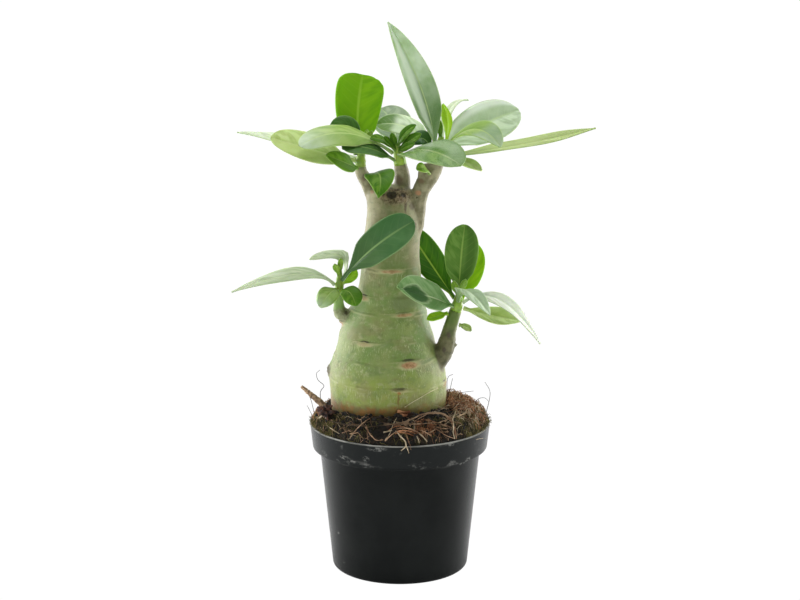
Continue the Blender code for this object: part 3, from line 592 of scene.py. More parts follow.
def model_blade(name, leaf, base):
    """A leaf as a closed sheet, with its own map: u along the midrib and v across it."""
    columns, rows = LONG_GRID if (Vector(leaf.tip) - base).length > LONG_LEAF else SHORT_GRID
    bpy.ops.mesh.primitive_grid_add(x_subdivisions=columns, y_subdivisions=rows, size=2)
    blade = bpy.context.object
    blade.name = name + "_blade"
    stout = blade.vertex_groups.new(name="stout")
    for vertex in blade.data.vertices:
        u, s = (vertex.co.x + 1) / 2, -vertex.co.y
        t = u - END_CROWDING * math.sin(2 * math.pi * u)
        vertex.co = (to_pot @ leaf_point(leaf, base, len(name), t, s)) * MM
        thick = max(BLADE * (1 - EDGE_THINNING * s ** 4), PETIOLE_DEPTH * (1 - t / STOUT_END))
        stout.add([vertex.index], min(1, thick / PETIOLE_DEPTH), "REPLACE")
    apply_modifier(blade, "TRIANGULATE")
    sheet = [(vertex.co.copy(), vertex.normal.copy()) for vertex in blade.data.vertices]
    apply_modifier(blade, "SOLIDIFY", thickness=PETIOLE_DEPTH * MM, offset=0.0, vertex_group="stout")
    low = [(vertex.co - place).dot(normal) < 0
           for vertex, (place, normal) in zip(blade.data.vertices, sheet)]
    keep_values(blade, "underside", [float(under) for under in low] + [float(not under) for under in low])
    edit_all(blade, FACE_OUT)
    return blade


# %% [markdown]
# ## The finish of a leaf
# A desert rose leaf is leathery and waxy. Its midrib is a pale yellow-green line, fine side veins
# run off it, and the very edge is pale too. Light comes through the thin blade, so some of it
# scatters under the surface. The underside is a plain matt green with a stouter, paler midrib.
# The masks follow the leaf's own map, whose u runs along the midrib.

# %% Leaf pattern group
def make_leaf_group():
    """Masks for a leaf's midrib, side veins, edge and painted sheen, from its map."""
    leaf = Group("leaf_pattern", Map=ORIGIN, Veins=13.0, Pale_Side=0.0)
    u, v, _ = leaf.parts(leaf.given["Map"])
    across = leaf.apart(leaf.times(v, 2.0), 1.0)
    rib = leaf.times(leaf.fall(across, 0.025, 0.085), leaf.ramp(u, 0.35, 1.0, 1.0, 0.35))
    swept = leaf.minus(u, leaf.times(leaf.math("POWER", across, 1.3), 0.16))
    wave = leaf.apart(leaf.math("FRACT", leaf.times(swept, leaf.given["Veins"])), 0.5)
    veins = leaf.times(leaf.fall(wave, 0.02, 0.11), leaf.fall(across, 0.6, 0.95), leaf.ramp(u, 0.14, 0.3))
    grid = leaf.add("ShaderNodeCombineXYZ", {0: leaf.times(swept, 9.0), 1: leaf.times(v, 2.2)}).outputs[0]
    # Painted sheen: soft streaks along the blade, stronger on one half, as if it caught more light
    wash = leaf.clouds(grid, 1.0, 0.38, 0.62, detail=2.0)
    side = leaf.ramp(leaf.apart(v, leaf.given["Pale Side"]), 0.4, 0.6, 1.0, 0.3)
    leaf.give(Midrib=rib, Side_Veins=veins, Margin=leaf.ramp(across, 0.93, 1.0), Bloom=leaf.times(wash, side))


make_leaf_group()

# %% [markdown]
# The same green turns into many looks, most of them painted light. Brighter, yellower greens paint
# light shining through some blades, darker greens paint the shade that falls on others, and pale,
# whitish greens paint the tent's reflection on the flat, waxy ones. Each look is a deep and a light
# green, the colour of its rib, how rough and how glossy its wax is, and how much light scatters
# inside it. A few have more: the half that the painted sheen keeps to, an outer part in other tones,
# or a band of painted sheen or shadow along the blade.

# %% Leaf looks
@dataclass
class Look:
    """What a leaf's finish is made of."""

    deep: tuple
    light: tuple
    rib: tuple
    rough: float
    wax: float
    glow: float
    under: float = 0.8
    veins: float = 0.1
    # The half of the blade that the painted sheen keeps to, as if it caught more light
    sheen_side: float = 0.0
    # Where along the blade the outer part starts, where it is full, and its two tones
    outer: tuple = None
    # A band of painted sheen or shadow: its middle and half width across the blade, where it ends, and its
    # tone
    band: tuple = None
    # A cup's pale lip and its dark inside, which is painted shade: each has its half sizes in the
    # map, its tone and its edge
    cup: tuple = ()


LEAF_LOOKS = {
    # Painted light: these three brighter, yellower greens stand for light shining through the blade
    "backlit": Look((0.20, 0.42, 0.004), (0.29, 0.52, 0.008), (0.38, 0.60, 0.05), 0.5, 0.12, 0.3, under=0.35,
                    veins=0.07),
    "glowing": Look((0.15, 0.37, 0.003), (0.22, 0.46, 0.006), (0.36, 0.58, 0.05), 0.5, 0.12, 0.3, under=0.35),
    "sunny": Look((0.27, 0.47, 0.01), (0.36, 0.57, 0.02), (0.42, 0.62, 0.06), 0.5, 0.12, 0.3, under=0.35),
    "green": Look((0.046, 0.15, 0.007), (0.13, 0.28, 0.024), (0.30, 0.45, 0.09), 0.38, 0.1, 0.12),
    # Painted shade: this look's dark band is a painted shadow over one half of the blade
    "shiny": Look((0.065, 0.17, 0.016), (0.15, 0.29, 0.05), (0.30, 0.45, 0.09), 0.34, 0.15, 0.12,
                  sheen_side=1.0, band=(0.22, 0.2, 1.3, (0.05, 0.13, 0.01))),
    "plain": Look((0.08, 0.21, 0.008), (0.19, 0.39, 0.028), (0.34, 0.50, 0.10), 0.38, 0.1, 0.12),
    # Painted shade: a darker green for leaves in the shade of the leaves over them
    "shadowed": Look((0.028, 0.10, 0.010), (0.065, 0.165, 0.026), (0.24, 0.38, 0.10), 0.36, 0.15, 0.06, under=0.5),
    "deep": Look((0.022, 0.075, 0.010), (0.036, 0.10, 0.016), (0.22, 0.35, 0.12), 0.36, 0.2, 0.06, under=0.5,
                 veins=0.05, outer=(0.4, 0.7, (0.04, 0.12, 0.032), (0.072, 0.17, 0.054))),
    "shaded": Look((0.022, 0.095, 0.001), (0.048, 0.155, 0.002), (0.30, 0.44, 0.05), 0.45, 0.05, 0.12,
                   under=0.3),
    # Painted sheen: this look's pale band is a painted sheen along the blade
    "sheen": Look((0.085, 0.20, 0.03), (0.19, 0.32, 0.085), (0.38, 0.50, 0.2), 0.3, 0.35, 0.1,
                  band=(0.8, 0.22, 0.8, (0.34, 0.46, 0.27))),
    "lime": Look((0.14, 0.29, 0.015), (0.27, 0.43, 0.06), (0.40, 0.55, 0.15), 0.36, 0.25, 0.15),
    # Painted sheen: this look's pale outer part is a painted sheen towards the tip
    "fresh": Look((0.18, 0.33, 0.04), (0.36, 0.49, 0.14), (0.44, 0.58, 0.2), 0.34, 0.3, 0.15,
                  outer=(0.55, 0.9, (0.36, 0.48, 0.26), (0.50, 0.62, 0.42))),
    # Painted reflection: this whitish green stands for the tent's reflection on the wax
    "painted_sheen": Look((0.28, 0.41, 0.22), (0.54, 0.67, 0.46), (0.42, 0.56, 0.26), 0.32, 0.35, 0.1),
    # Painted sheen: a pale, sheeny green, and a painted highlight in the band along one edge
    "rimmed": Look((0.29, 0.41, 0.22), (0.52, 0.65, 0.43), (0.46, 0.60, 0.30), 0.34, 0.3, 0.1,
                   band=(0.96, 0.22, 1.3, (0.70, 0.77, 0.66))),
    "misty": Look((0.12, 0.20, 0.09), (0.24, 0.32, 0.19), (0.42, 0.56, 0.26), 0.34, 0.3, 0.1, veins=0.05),
    # Painted sheen: the pale outer part, the paler half and the band stand for sheen
    "silver": Look((0.09, 0.20, 0.045), (0.25, 0.37, 0.17), (0.46, 0.60, 0.26), 0.32, 0.35, 0.1, veins=0.05,
                   sheen_side=1.0, outer=(0.36, 0.68, (0.31, 0.48, 0.20), (0.58, 0.71, 0.50)),
                   band=(0.73, 0.2, 1.3, (0.66, 0.77, 0.60))),
    "olive": Look((0.28, 0.38, 0.09), (0.44, 0.54, 0.20), (0.50, 0.60, 0.26), 0.4, 0.3, 0.15),
    "straw": Look((0.37, 0.49, 0.12), (0.58, 0.70, 0.28), (0.56, 0.66, 0.28), 0.4, 0.25, 0.15, under=0.4),
    # Painted reflection: these two pale, whitish greens stand for the tent's reflection on the wax
    "pale_sheen": Look((0.40, 0.50, 0.28), (0.66, 0.74, 0.54), (0.62, 0.70, 0.46), 0.4, 0.3, 0.12),
    "white_sheen": Look((0.62, 0.70, 0.53), (0.84, 0.90, 0.77), (0.66, 0.76, 0.50), 0.4, 0.3, 0.12),
    # Painted reflection: this pale green stands for the tent's reflection; the tip keeps a plain green
    "inward": Look((0.40, 0.52, 0.30), (0.66, 0.76, 0.56), (0.60, 0.72, 0.40), 0.4, 0.3, 0.12,
                   outer=(0.57, 0.69, (0.09, 0.20, 0.03), (0.17, 0.30, 0.07))),
    "curled": Look((0.14, 0.28, 0.012), (0.26, 0.41, 0.05), (0.40, 0.55, 0.15), 0.36, 0.25, 0.15,
                   outer=(0.55, 0.66, (0.20, 0.32, 0.14), (0.36, 0.46, 0.28))),
    # Painted shade: the dark inside of this look's cup stands for shade in the hollow
    "cupped": Look((0.07, 0.175, 0.038), (0.17, 0.29, 0.105), (0.42, 0.52, 0.28), 0.5, 0.08, 0.05,
                   cup=(((0.2, 0.36, 9), (0.27, 0.38, 0.18), 0.15),
                        ((0.188, 0.335, 9), (0.012, 0.068, 0.006), 0.3))),
}
CUP_MIDDLE = (0.66, 0.6, 0)
MATT_DARK = (0.14, 0.25, 0.065)
MATT_LIGHT = (0.21, 0.33, 0.115)
UNDER_RIB = (0.36, 0.48, 0.20)
LIGHT_DEPTHS = (0.6, 1.0, 0.15)


# %% Leaf finish
def paint_band(leaf, u, v, middle, wide, last, tone):
    """A soft band along a blade, between the stalk and where it ends: painted sheen, on one look a painted
    shadow.
    """
    band = leaf.times(leaf.ramp(leaf.apart(v, middle), 0.3 * wide, wide, 0.8, 0.0), leaf.ramp(u, 0.12, 0.4))
    leaf.paint(leaf.times(band, leaf.fall(u, last - 0.25, last)), tone)


def leaf_finish(name):
    """A waxy leaf in one look, with its rib, veins, edge and painted sheen."""
    look = LEAF_LOOKS[name]
    leaf = Finish("leaf_" + name, look.rough, 55.0, 1600.0, specular_ior_level=look.wax,
                  subsurface_weight=look.glow, subsurface_scale=0.0015, subsurface_radius=LIGHT_DEPTHS)
    leaf_map = leaf.add("ShaderNodeUVMap", uv_map="UVMap").outputs[0]
    u, v, _ = leaf.parts(leaf_map)
    midrib, veins, margin, painted_sheen = leaf.use("leaf_pattern", Map=leaf_map, Pale_Side=look.sheen_side)
    # The light green lies in slow patches and in the painted sheen
    leaf.ground(look.deep, look.light, leaf.most(leaf.times(leaf.patches, 0.5), painted_sheen))
    leaf.paint(leaf.ramp(leaf.fine, 0.45, 0.75, 0.0, 0.2), look.light)
    if look.outer:
        start, full, dim, pale = look.outer
        leaf.paint(leaf.ramp(u, start, full), leaf.mix(leaf.patches, dim, pale))
    # Painted light: a band of painted sheen, and on one look a painted shadow
    if look.band:
        paint_band(leaf, u, v, *look.band)
    leaf.paint(veins, look.rib, look.veins)
    leaf.paint(margin, look.rib, 0.6)
    leaf.paint(midrib, look.rib, 0.85)
    # Painted shade: after the cup's pale lip, its inside is painted dark
    if look.cup:
        loose = leaf.vector("ADD", leaf_map, leaf.push(leaf_map, 7.0, (0.09, 0.17, 0.0)))
        for size, tone, edge in look.cup:
            hollow = leaf.use("spot", Position=loose, Centre=CUP_MIDDLE, Size=size, Edge=edge)["Mask"]
            leaf.paint(hollow, tone, 0.92)
    matt = leaf.mix(leaf.patches, MATT_DARK, MATT_LIGHT)
    matt = leaf.mix(leaf.times(midrib, 0.8), matt, UNDER_RIB)
    leaf.paint(leaf.kept("underside"), matt, look.under)
    height = leaf.plus(leaf.times(leaf.fine, 0.6), leaf.times(veins, 0.5))
    return leaf.dress(height, 0.00007, leaf.ramp(leaf.fine, 0.3, 0.7, look.rough - 0.06, look.rough + 0.06))


leaf_finishes = {name: leaf_finish(name) for name in LEAF_LOOKS}

# %% [markdown]
# Each leaf stands in for its own solid, which is hidden.

# %% Make the leaves
for shoot, leaves in LEAVES.items():
    for kind, leaf in leaves.items():
        node = f"{shoot}_leaf_{kind}"
        slot = nodes[node].data.materials[0].name
        finish_piece(model_blade(node, leaf, seat_of(shoot, leaf)), leaf_finishes[leaf.look], slot, node)


# %% [markdown]
# ## Finer copies of the solids
# The trunk, the soil and the big roots already have the right form, in flat facets. A copy of the
# solid's mesh is merged, remeshed with small even faces and smoothed, and then takes relief that
# the facets could not hold. The solid itself is never touched.

# %% Copy a solid finely
def fine_copy(node, name, cell, smoothing):
    """A solid's copy in even faces of about one cell, smoothed."""
    piece = bpy.data.objects.new(name, nodes[node].data.copy())
    bpy.context.scene.collection.objects.link(piece)
    edit_all(piece, MERGE)
    apply_modifier(piece, "REMESH", mode="VOXEL", voxel_size=cell * MM)
    apply_modifier(piece, "SMOOTH", factor=0.5, iterations=smoothing)
    return piece


def shift_points(piece, shift):
    """Move each point of a piece along its normal by a function of its place, in millimetres."""
    mesh = piece.data
    normals = [vertex.normal.copy() for vertex in mesh.vertices]
    for vertex, normal in zip(mesh.vertices, normals):
        vertex.co += normal * shift(vertex.co / MM, normal) * MM


def surface_tree(piece):
    """A search tree of a piece's faces."""
    return BVHTree.FromObject(piece, bpy.context.evaluated_depsgraph_get())


# %% [markdown]
# ## The trunk's skin
# Every fallen leaf left a scar: a short sunk slit over a corky orange patch with a pale rim, on a
# low fold of skin that runs round the trunk. The slit is painted dark as shade. The front ones are
# where the picture shows them, given by their angle from the front, height, half sizes, and shares
# of cork and of slit. Behind, they climb by the golden angle, as leaves do.

# %% How near a point is to a stem
stem_rows = {shoot: [(to_pot @ Vector(row[:3]), row[3]) for row in rows[1:]] for shoot, rows in WOOD.items()}
FRESH_FROM = {"left_shoot": 0.3, "right_shoot": 0.42}
FRESH_FROM_CROWN = 0.9


def stem_shares(place):
    """Shares of bark and of fresh green at a point: both are 0 on the trunk itself."""
    bark, fresh = 0.0, 0.0
    for shoot, rows in stem_rows.items():
        for index, (low, high) in enumerate(zip(rows, rows[1:])):
            span = high[0] - low[0]
            t = min(max((place - low[0]).dot(span) / span.length_squared, 0), 1)
            gap = (place - low[0] - span * t).length / (low[1] + (high[1] - low[1]) * t)
            near = min(1, max(0, (1.4 - gap) / 0.3))
            if near > bark:
                along = (index + t) / (len(rows) - 1)
                start = FRESH_FROM.get(shoot, FRESH_FROM_CROWN)
                bark, fresh = near, near * min(1, max(0, (along - start) / 0.3))
    return bark, fresh


# %% Where the scars are
FRONT_SCARS = (
    (2, 179.6, 6.0, 1.1, 0.8, 0.0), (-50, 163.2, 3.6, 1.3, 0.6, 0.9), (23, 154.9, 5.6, 1.0, 0.8, 0.35),
    (-30, 138.9, 4.0, 1.1, 0.3, 1.0), (22.5, 128.0, 5.3, 2.0, 1.0, 0.85), (12, 113.8, 3.4, 0.9, 0.12, 0.6),
)
BACK_SCARS = 8
BACK_SCAR = (3.8, 1.3, 0.8, 0.8)
BACK_START = 75
BACK_TURN = 210
BACK_FOOT = 112
BACK_STEP = 11.5
GOLDEN_ANGLE = 137.5
TRUNK_AXIS = -6


def scar_list():
    """Angle from the front, height, half sizes, and shares of cork and of slit of every scar."""
    behind = [(BACK_START + (index * GOLDEN_ANGLE) % BACK_TURN, BACK_FOOT + index * BACK_STEP, *BACK_SCAR)
              for index in range(BACK_SCARS)]
    return [*FRONT_SCARS, *behind]


def on_trunk(tree, angle, height):
    """The trunk's surface point at an angle from the front and a height, and the way out there."""
    turn = math.radians(angle)
    axis = to_pot @ Vector((TRUNK_AXIS, 0, height))
    out = Vector((math.sin(turn), -math.cos(turn), 0))
    hit = tree.ray_cast((axis + out * 80) * MM, -out)[0]
    return hit / MM, out


def smooth_body(piece, rounds):
    """Smooth the trunk well, so that no facet shows, and spare the thin stems."""
    body = piece.vertex_groups.new(name="body")
    for vertex in piece.data.vertices:
        body.add([vertex.index], 1 - stem_shares(vertex.co / MM)[0], "REPLACE")
    apply_modifier(piece, "SMOOTH", factor=0.5, iterations=rounds, vertex_group="body")


caudex = fine_copy("caudex", "caudex_skin", 0.8, 6)
smooth_body(caudex, 70)
trunk_tree = surface_tree(caudex)
scars = [(*on_trunk(trunk_tree, angle, height), *rest) for angle, height, *rest in scar_list()]
print(len(scars), "leaf scars")

# %% [markdown]
# Low folds run round the trunk at the height of each old leaf. A row gives a fold's height, how
# much it tilts, and the turn at which the tilt starts. The wounds at the top are where branches
# were pruned: each is a place and a radius. A hard knob stands at the foot, on the left.

# %% Shape the trunk's skin
FOLDS = ((179.0, 0.6, 0.3), (163.0, 0.9, 2.1), (154.5, 0.8, 4.0), (138.5, 1.0, 1.2), (128.0, 0.8, 5.2),
         (114.0, 0.6, 3.0))
NO_FOLD = 30.0
WOUNDS = [(to_pot @ Vector(place), radius)
          for place, radius in (((-5.6, -11.5, 222.2), 2.9), ((1.4, -10.5, 222.4), 2.0))]
KNOB = to_pot @ Vector((-39.5, -2, 117.5))
PATCH_SHIFT = Vector((7, 0, 0))


def bell(value, width=1.0):
    """1 in the middle, falling softly to both sides."""
    return math.exp(-(value / width) ** 2)


def below_fold(place):
    """How far a point lies below the nearest fold over it: the folds tilt and wander a little."""
    plant = from_pot @ place
    turn = math.atan2(plant.x - TRUNK_AXIS, -plant.y)
    wander = 0.8 * noise.noise(plant / 14)
    drops = [level + tilt * math.sin(turn + start) + wander - plant.z for level, tilt, start in FOLDS]
    return min((drop for drop in drops if drop > -1.5), default=NO_FOLD)


def scar_relief(place):
    """The raised lip and the sunk slit of each scar near a point."""
    lift = 0.0
    for spot, out, width, tall, _, slit_share in scars:
        away = place - spot
        if abs(away.z) > 5 or away.length > 20:
            continue
        across = (away - out * away.dot(out)).xy.length
        lip = bell(away.z, 1.3 * tall) * bell(across, 1.5 * width)
        slit = bell(away.z - 1.15 * tall, 0.5) * bell(across, 0.9 * width)
        lift += 0.6 * lip - slit * slit_share
    return lift


def skin_relief(place, _):
    """Folds, slits, the ragged wounds, the knob and a slightly uneven skin."""
    lift = 0.28 * noise.noise(place / 9) + 0.12 * noise.noise(place / 2.5) + scar_relief(place)
    drop = below_fold(place)
    broken = max(0.0, 0.15 + 1.1 * noise.noise(place / 11 + PATCH_SHIFT))
    lift += broken * (0.32 * bell(drop - 0.7) - 0.28 * bell(drop + 0.9, 0.8))
    lift += 1.5 * bell((place - KNOB).length, 3) * (1 + noise.noise(place / 1.2))
    for centre, radius in WOUNDS:
        ragged = 0.9 * noise.noise(place / 1.5) + 0.5 * noise.noise(place / 0.8)
        lift += bell((place - centre).length, 2.2 * radius) * ragged
    return lift


shift_points(caudex, skin_relief)
trunk_tree = surface_tree(caudex)

# %% [markdown]
# The skin's finish has layers: a green that deepens towards the foot, bark on the branches and
# side stems, fine pale streaks under each fold where the skin has stretched, painted shade just
# above each fold, and the orange marks of the scars and wounds with painted shade in each slit and
# torn pit. Where bark grows, where a stem is still fresh and where the folds run are worked out
# once for each point and kept in the mesh as attributes.

# %% Bark, fresh stems and folds as attributes
points = [vertex.co / MM for vertex in caudex.data.vertices]
bark_shares, fresh_shares = zip(*(stem_shares(point) for point in points))
keep_values(caudex, "bark", bark_shares)
keep_values(caudex, "fresh", fresh_shares)
keep_values(caudex, "below_fold", [min(NO_FOLD, below_fold(point)) for point in points])

# %% [markdown]
# Single marks are given where the picture shows them: a pixel, half a width and half a height in
# millimetres, and a tone. A ray from the camera through the pixel finds the place on the skin. Four
# of them are painted shade: the dark crease and its brown edge right of the wounds, the dark band
# over the lowest front scar, and a big olive patch that is the painted shadow of the cupped leaf.

# %% Marks and patches of painted shade that the picture shows
TRUNK_MARKS_AND_SHADES = (
    ((418, 193), 2.4, 1.7, (0.50, 0.23, 0.12)), ((417, 197.5), 0.8, 0.7, (0.03, 0.02, 0.01)),
    # Painted shade: the mark at (405.5, 207) is the dark crease right of the wounds
    ((415, 226), 1.3, 2.6, (0.10, 0.06, 0.025)), ((405.5, 207), 1.1, 5.0, (0.08, 0.055, 0.03)),
    # Painted shade: the mark at (412, 206) is the brown shade beside that crease
    ((412, 206), 2.6, 3.2, (0.11, 0.085, 0.05)), ((346, 313), 1.4, 1.6, (0.04, 0.025, 0.015)),
    ((402, 411), 4.2, 2.2, (0.36, 0.11, 0.025)), ((398.5, 400), 0.8, 5.0, (0.17, 0.085, 0.02)),
    # Painted shade: the mark at (398, 389.5) is the dark band over the lowest front scar
    ((399, 393.5), 1.6, 1.2, (0.32, 0.13, 0.03)), ((398, 389.5), 6.0, 1.5, (0.10, 0.105, 0.03)),
    # Painted shadow: the mark at (404, 303) is the cupped leaf's shadow on the trunk
    ((398, 180), 4.5, 4.0, (0.11, 0.075, 0.04)), ((404, 303), 11.0, 7.0, (0.13, 0.17, 0.06)),
    ((372, 192), 1.6, 1.2, (0.30, 0.17, 0.09)), ((364, 178), 1.6, 3.0, (0.12, 0.085, 0.05)),
    ((449, 335), 1.8, 2.2, (0.07, 0.05, 0.03)), ((444, 350), 1.6, 2.4, (0.06, 0.045, 0.028)),
    ((459, 345), 1.2, 1.2, (0.05, 0.035, 0.02)), ((421, 181), 2.4, 2.0, (0.16, 0.105, 0.055)),
)


def ray_through(across, down):
    """The camera's place and the way out through a pixel of the picture."""
    right, up = across - PICTURE_WIDTH / 2, PICTURE_HEIGHT / 2 - down
    way = Vector((right / FOCAL_PIXELS, up / FOCAL_PIXELS, -1))
    return camera.location, (camera.rotation_euler.to_matrix() @ way).normalized()


def seen_on(tree, across, down):
    """The place on a surface behind a pixel, or the nearest to its ray, in millimetres."""
    eye, way = ray_through(across, down)
    hit = tree.ray_cast(eye, way)[0] or tree.find_nearest(eye - way * (eye.y / way.y))[0]
    return hit / MM


# %% Leaf scar group
def make_scar_group():
    """Masks for one leaf scar: its corky patch, pale rim, the slit where shade is painted, and the crease
    beside it.
    """
    scar = Group("leaf_scar", Position=ORIGIN, Centre=ORIGIN, Width=0.004, Height=0.0015)
    width, tall = scar.given["Width"], scar.given["Height"]
    x, y, z = scar.parts(scar.vector("SUBTRACT", scar.given["Position"], scar.given["Centre"]))
    flat = scar.math("POWER", scar.plus(scar.math("POWER", x, 2.0), scar.math("POWER", y, 2.0)), 0.5)

    def oval(wide, high, lift):
        """The distance from a lifted centre, in half widths and half heights."""
        up = scar.math("DIVIDE", scar.minus(z, lift), high)
        across = scar.math("POWER", scar.math("DIVIDE", flat, wide), 2.0)
        return scar.math("POWER", scar.plus(across, scar.times(up, up)), 0.5)

    body = oval(width, tall, scar.times(tall, -0.3))
    slit = oval(width, scar.times(tall, 0.5), scar.times(tall, 1.1))
    crease = oval(scar.times(width, 3.2), 0.0006, scar.times(tall, 0.6))
    scar.give(Patch=scar.fall(body, 0.7, 1.1), Rim=scar.fall(body, 1.0, 1.7), Slit=scar.fall(slit, 0.4, 1.05),
              Crease=scar.fall(crease, 0.2, 1.0))


make_scar_group()

# %% [markdown]
# The finish is painted from the ground up, one short function for each kind of layer. Heights are
# in metres here, as the shader sees them.

# %% Trunk ground and folds
SKIN_GROUNDS = (
    (None, (0.20, 0.27, 0.042), (0.275, 0.295, 0.065)),
    ((0.110, 0.130), (0.13, 0.225, 0.048), (0.21, 0.27, 0.075)),
    ((0.155, 0.205), (0.205, 0.20, 0.09), (0.29, 0.265, 0.145)),
)
# Blotches of the skin: scale, limits, share and colour
SKIN_BLOTCHES = (
    (62.0, 0.5, 0.64, 0.55, (0.20, 0.185, 0.075)), (85.0, 0.52, 0.68, 0.5, (0.09, 0.16, 0.038)),
    (190.0, 0.54, 0.68, 0.5, (0.33, 0.35, 0.17)), (320.0, 0.55, 0.68, 0.34, (0.09, 0.10, 0.035)),
)


def paint_skin(skin, height):
    """Foot, belly and neck in their greens, with blotches and fine drawn lines."""
    level = skin.plus(height, skin.times(skin.minus(skin.patches, 0.5), 0.014))
    for limits, dark, light in SKIN_GROUNDS:
        if limits is None:
            skin.ground(dark, light)
        else:
            skin.paint(skin.ramp(level, *limits), skin.mix(skin.patches, dark, light))
    tall = skin.scaled(skin.position, (1.0, 1.0, 1.5))
    for scale, low, high, share, tone in SKIN_BLOTCHES:
        skin.paint(skin.clouds(tall, scale, low, high, share, 4.0, 0.6), tone)
    drawn = skin.scaled(skin.position, (1.0, 1.0, 0.12))
    skin.paint(skin.clouds(drawn, 420.0, 0.42, 0.62, 0.14, 3.0), (0.27, 0.31, 0.13))


def paint_folds(skin):
    """Pale streaks under the folds, painted shade on their upper side and their pale edge; returns the
    streaks.
    """
    drop = skin.kept("below_fold")
    drawn = skin.scaled(skin.position, (1.0, 1.0, 0.14))
    band = skin.times(skin.ramp(drop, 0.2, 1.6), skin.ramp(drop, 3.5, 9.0, 1.0, 0.25))
    crowd = skin.ramp(skin.grain(skin.position, 55.0, 2.0), 0.42, 0.56, 0.06, 1.0)
    streak = skin.times(skin.clouds(drawn, 1700.0, 0.53, 0.67, 1.0, 3.0, 0.6), band, crowd)
    skin.paint(streak, (0.50, 0.56, 0.27), 0.72)
    patchy = skin.clouds(skin.position, 75.0, 0.46, 0.66, 1.0, 2.0)
    # Painted shade: a darker band in the groove just above each fold, in patches
    over = skin.times(skin.ramp(drop, -1.6, -0.6), skin.fall(drop, -0.5, 0.1))
    skin.paint(skin.times(over, patchy), (0.08, 0.10, 0.03), 0.35)
    edge = skin.times(skin.ramp(drop, -0.1, 0.4), skin.fall(drop, 0.5, 1.5))
    skin.paint(skin.times(edge, patchy), (0.42, 0.43, 0.22), 0.5)
    return streak


# %% Trunk bark
def paint_bark(skin, along, height):
    """Bark on the stems, paler at the left and on the crown, and fresh green; returns the bark."""
    bark = skin.kept("bark")
    weathered = skin.clouds(skin.position, 190.0, 0.35, 0.65, 1.0, 5.0, 0.6)
    leftwards = skin.fall(along, -0.024, -0.018)
    old = skin.mix(weathered, (0.045, 0.04, 0.018), (0.145, 0.132, 0.068))
    old = skin.mix(leftwards, old, skin.mix(weathered, (0.115, 0.115, 0.05), (0.34, 0.35, 0.21)))
    thin = skin.mix(weathered, (0.15, 0.135, 0.07), (0.30, 0.28, 0.17))
    skin.paint(bark, skin.mix(skin.ramp(height, 0.175, 0.19), old, thin), 0.88)
    sprout = skin.mix(skin.patches, (0.085, 0.15, 0.02), (0.14, 0.20, 0.04))
    sprout = skin.mix(leftwards, sprout, skin.mix(skin.patches, (0.16, 0.31, 0.06), (0.23, 0.38, 0.10)))
    skin.paint(skin.kept("fresh"), sprout, 0.85)
    return bark


# %% Trunk scars and wounds
def paint_scars(skin, loose):
    """The pale rims and corky patches of the scars; returns the slit masks, where shade is painted."""
    rims, corks, slit_shades = [], [], []
    for spot, _, width, tall, cork_share, slit_share in scars:
        patch, rim, slit, crease = skin.use("leaf_scar", Position=loose, Centre=spot * MM, Width=width * MM,
                                            Height=tall * MM)
        rims.append(skin.most(skin.times(rim, 0.75), skin.times(crease, 0.7)))
        corks.append(skin.times(patch, cork_share))
        slit_shades.append(skin.times(slit, slit_share))
    skin.paint(skin.most(*rims), (0.46, 0.42, 0.22), 0.7)
    cork = skin.mix(skin.clouds(skin.position, 520.0, 0.35, 0.65), (0.24, 0.105, 0.035), (0.45, 0.25, 0.125))
    skin.paint(skin.most(*corks), cork, 0.85)
    return slit_shades


def paint_wounds(skin, loose, torn, slit_shades):
    """Dead wood round each pruned wound, then painted shade, nearly black, in each torn pit and scar slit."""
    dead = skin.mix(skin.clouds(skin.position, 650.0, 0.4, 0.6, 1.0, 4.0, 0.7), (0.06, 0.035, 0.018),
                    (0.27, 0.20, 0.115))
    pit_shades = []
    for centre, radius in WOUNDS:
        skin.paint(skin.spot(centre, (10.5, 12, 7.5), 0.6, loose), dead, 0.85)
        pit_shades.append(skin.spot(centre, (1.25 * radius, 1.6 * radius, 0.9 * radius), 0.35, torn))
    # Painted shade: each scar slit and torn pit is painted nearly black
    skin.paint(skin.most(*slit_shades, *pit_shades), (0.022, 0.014, 0.007), 0.93)


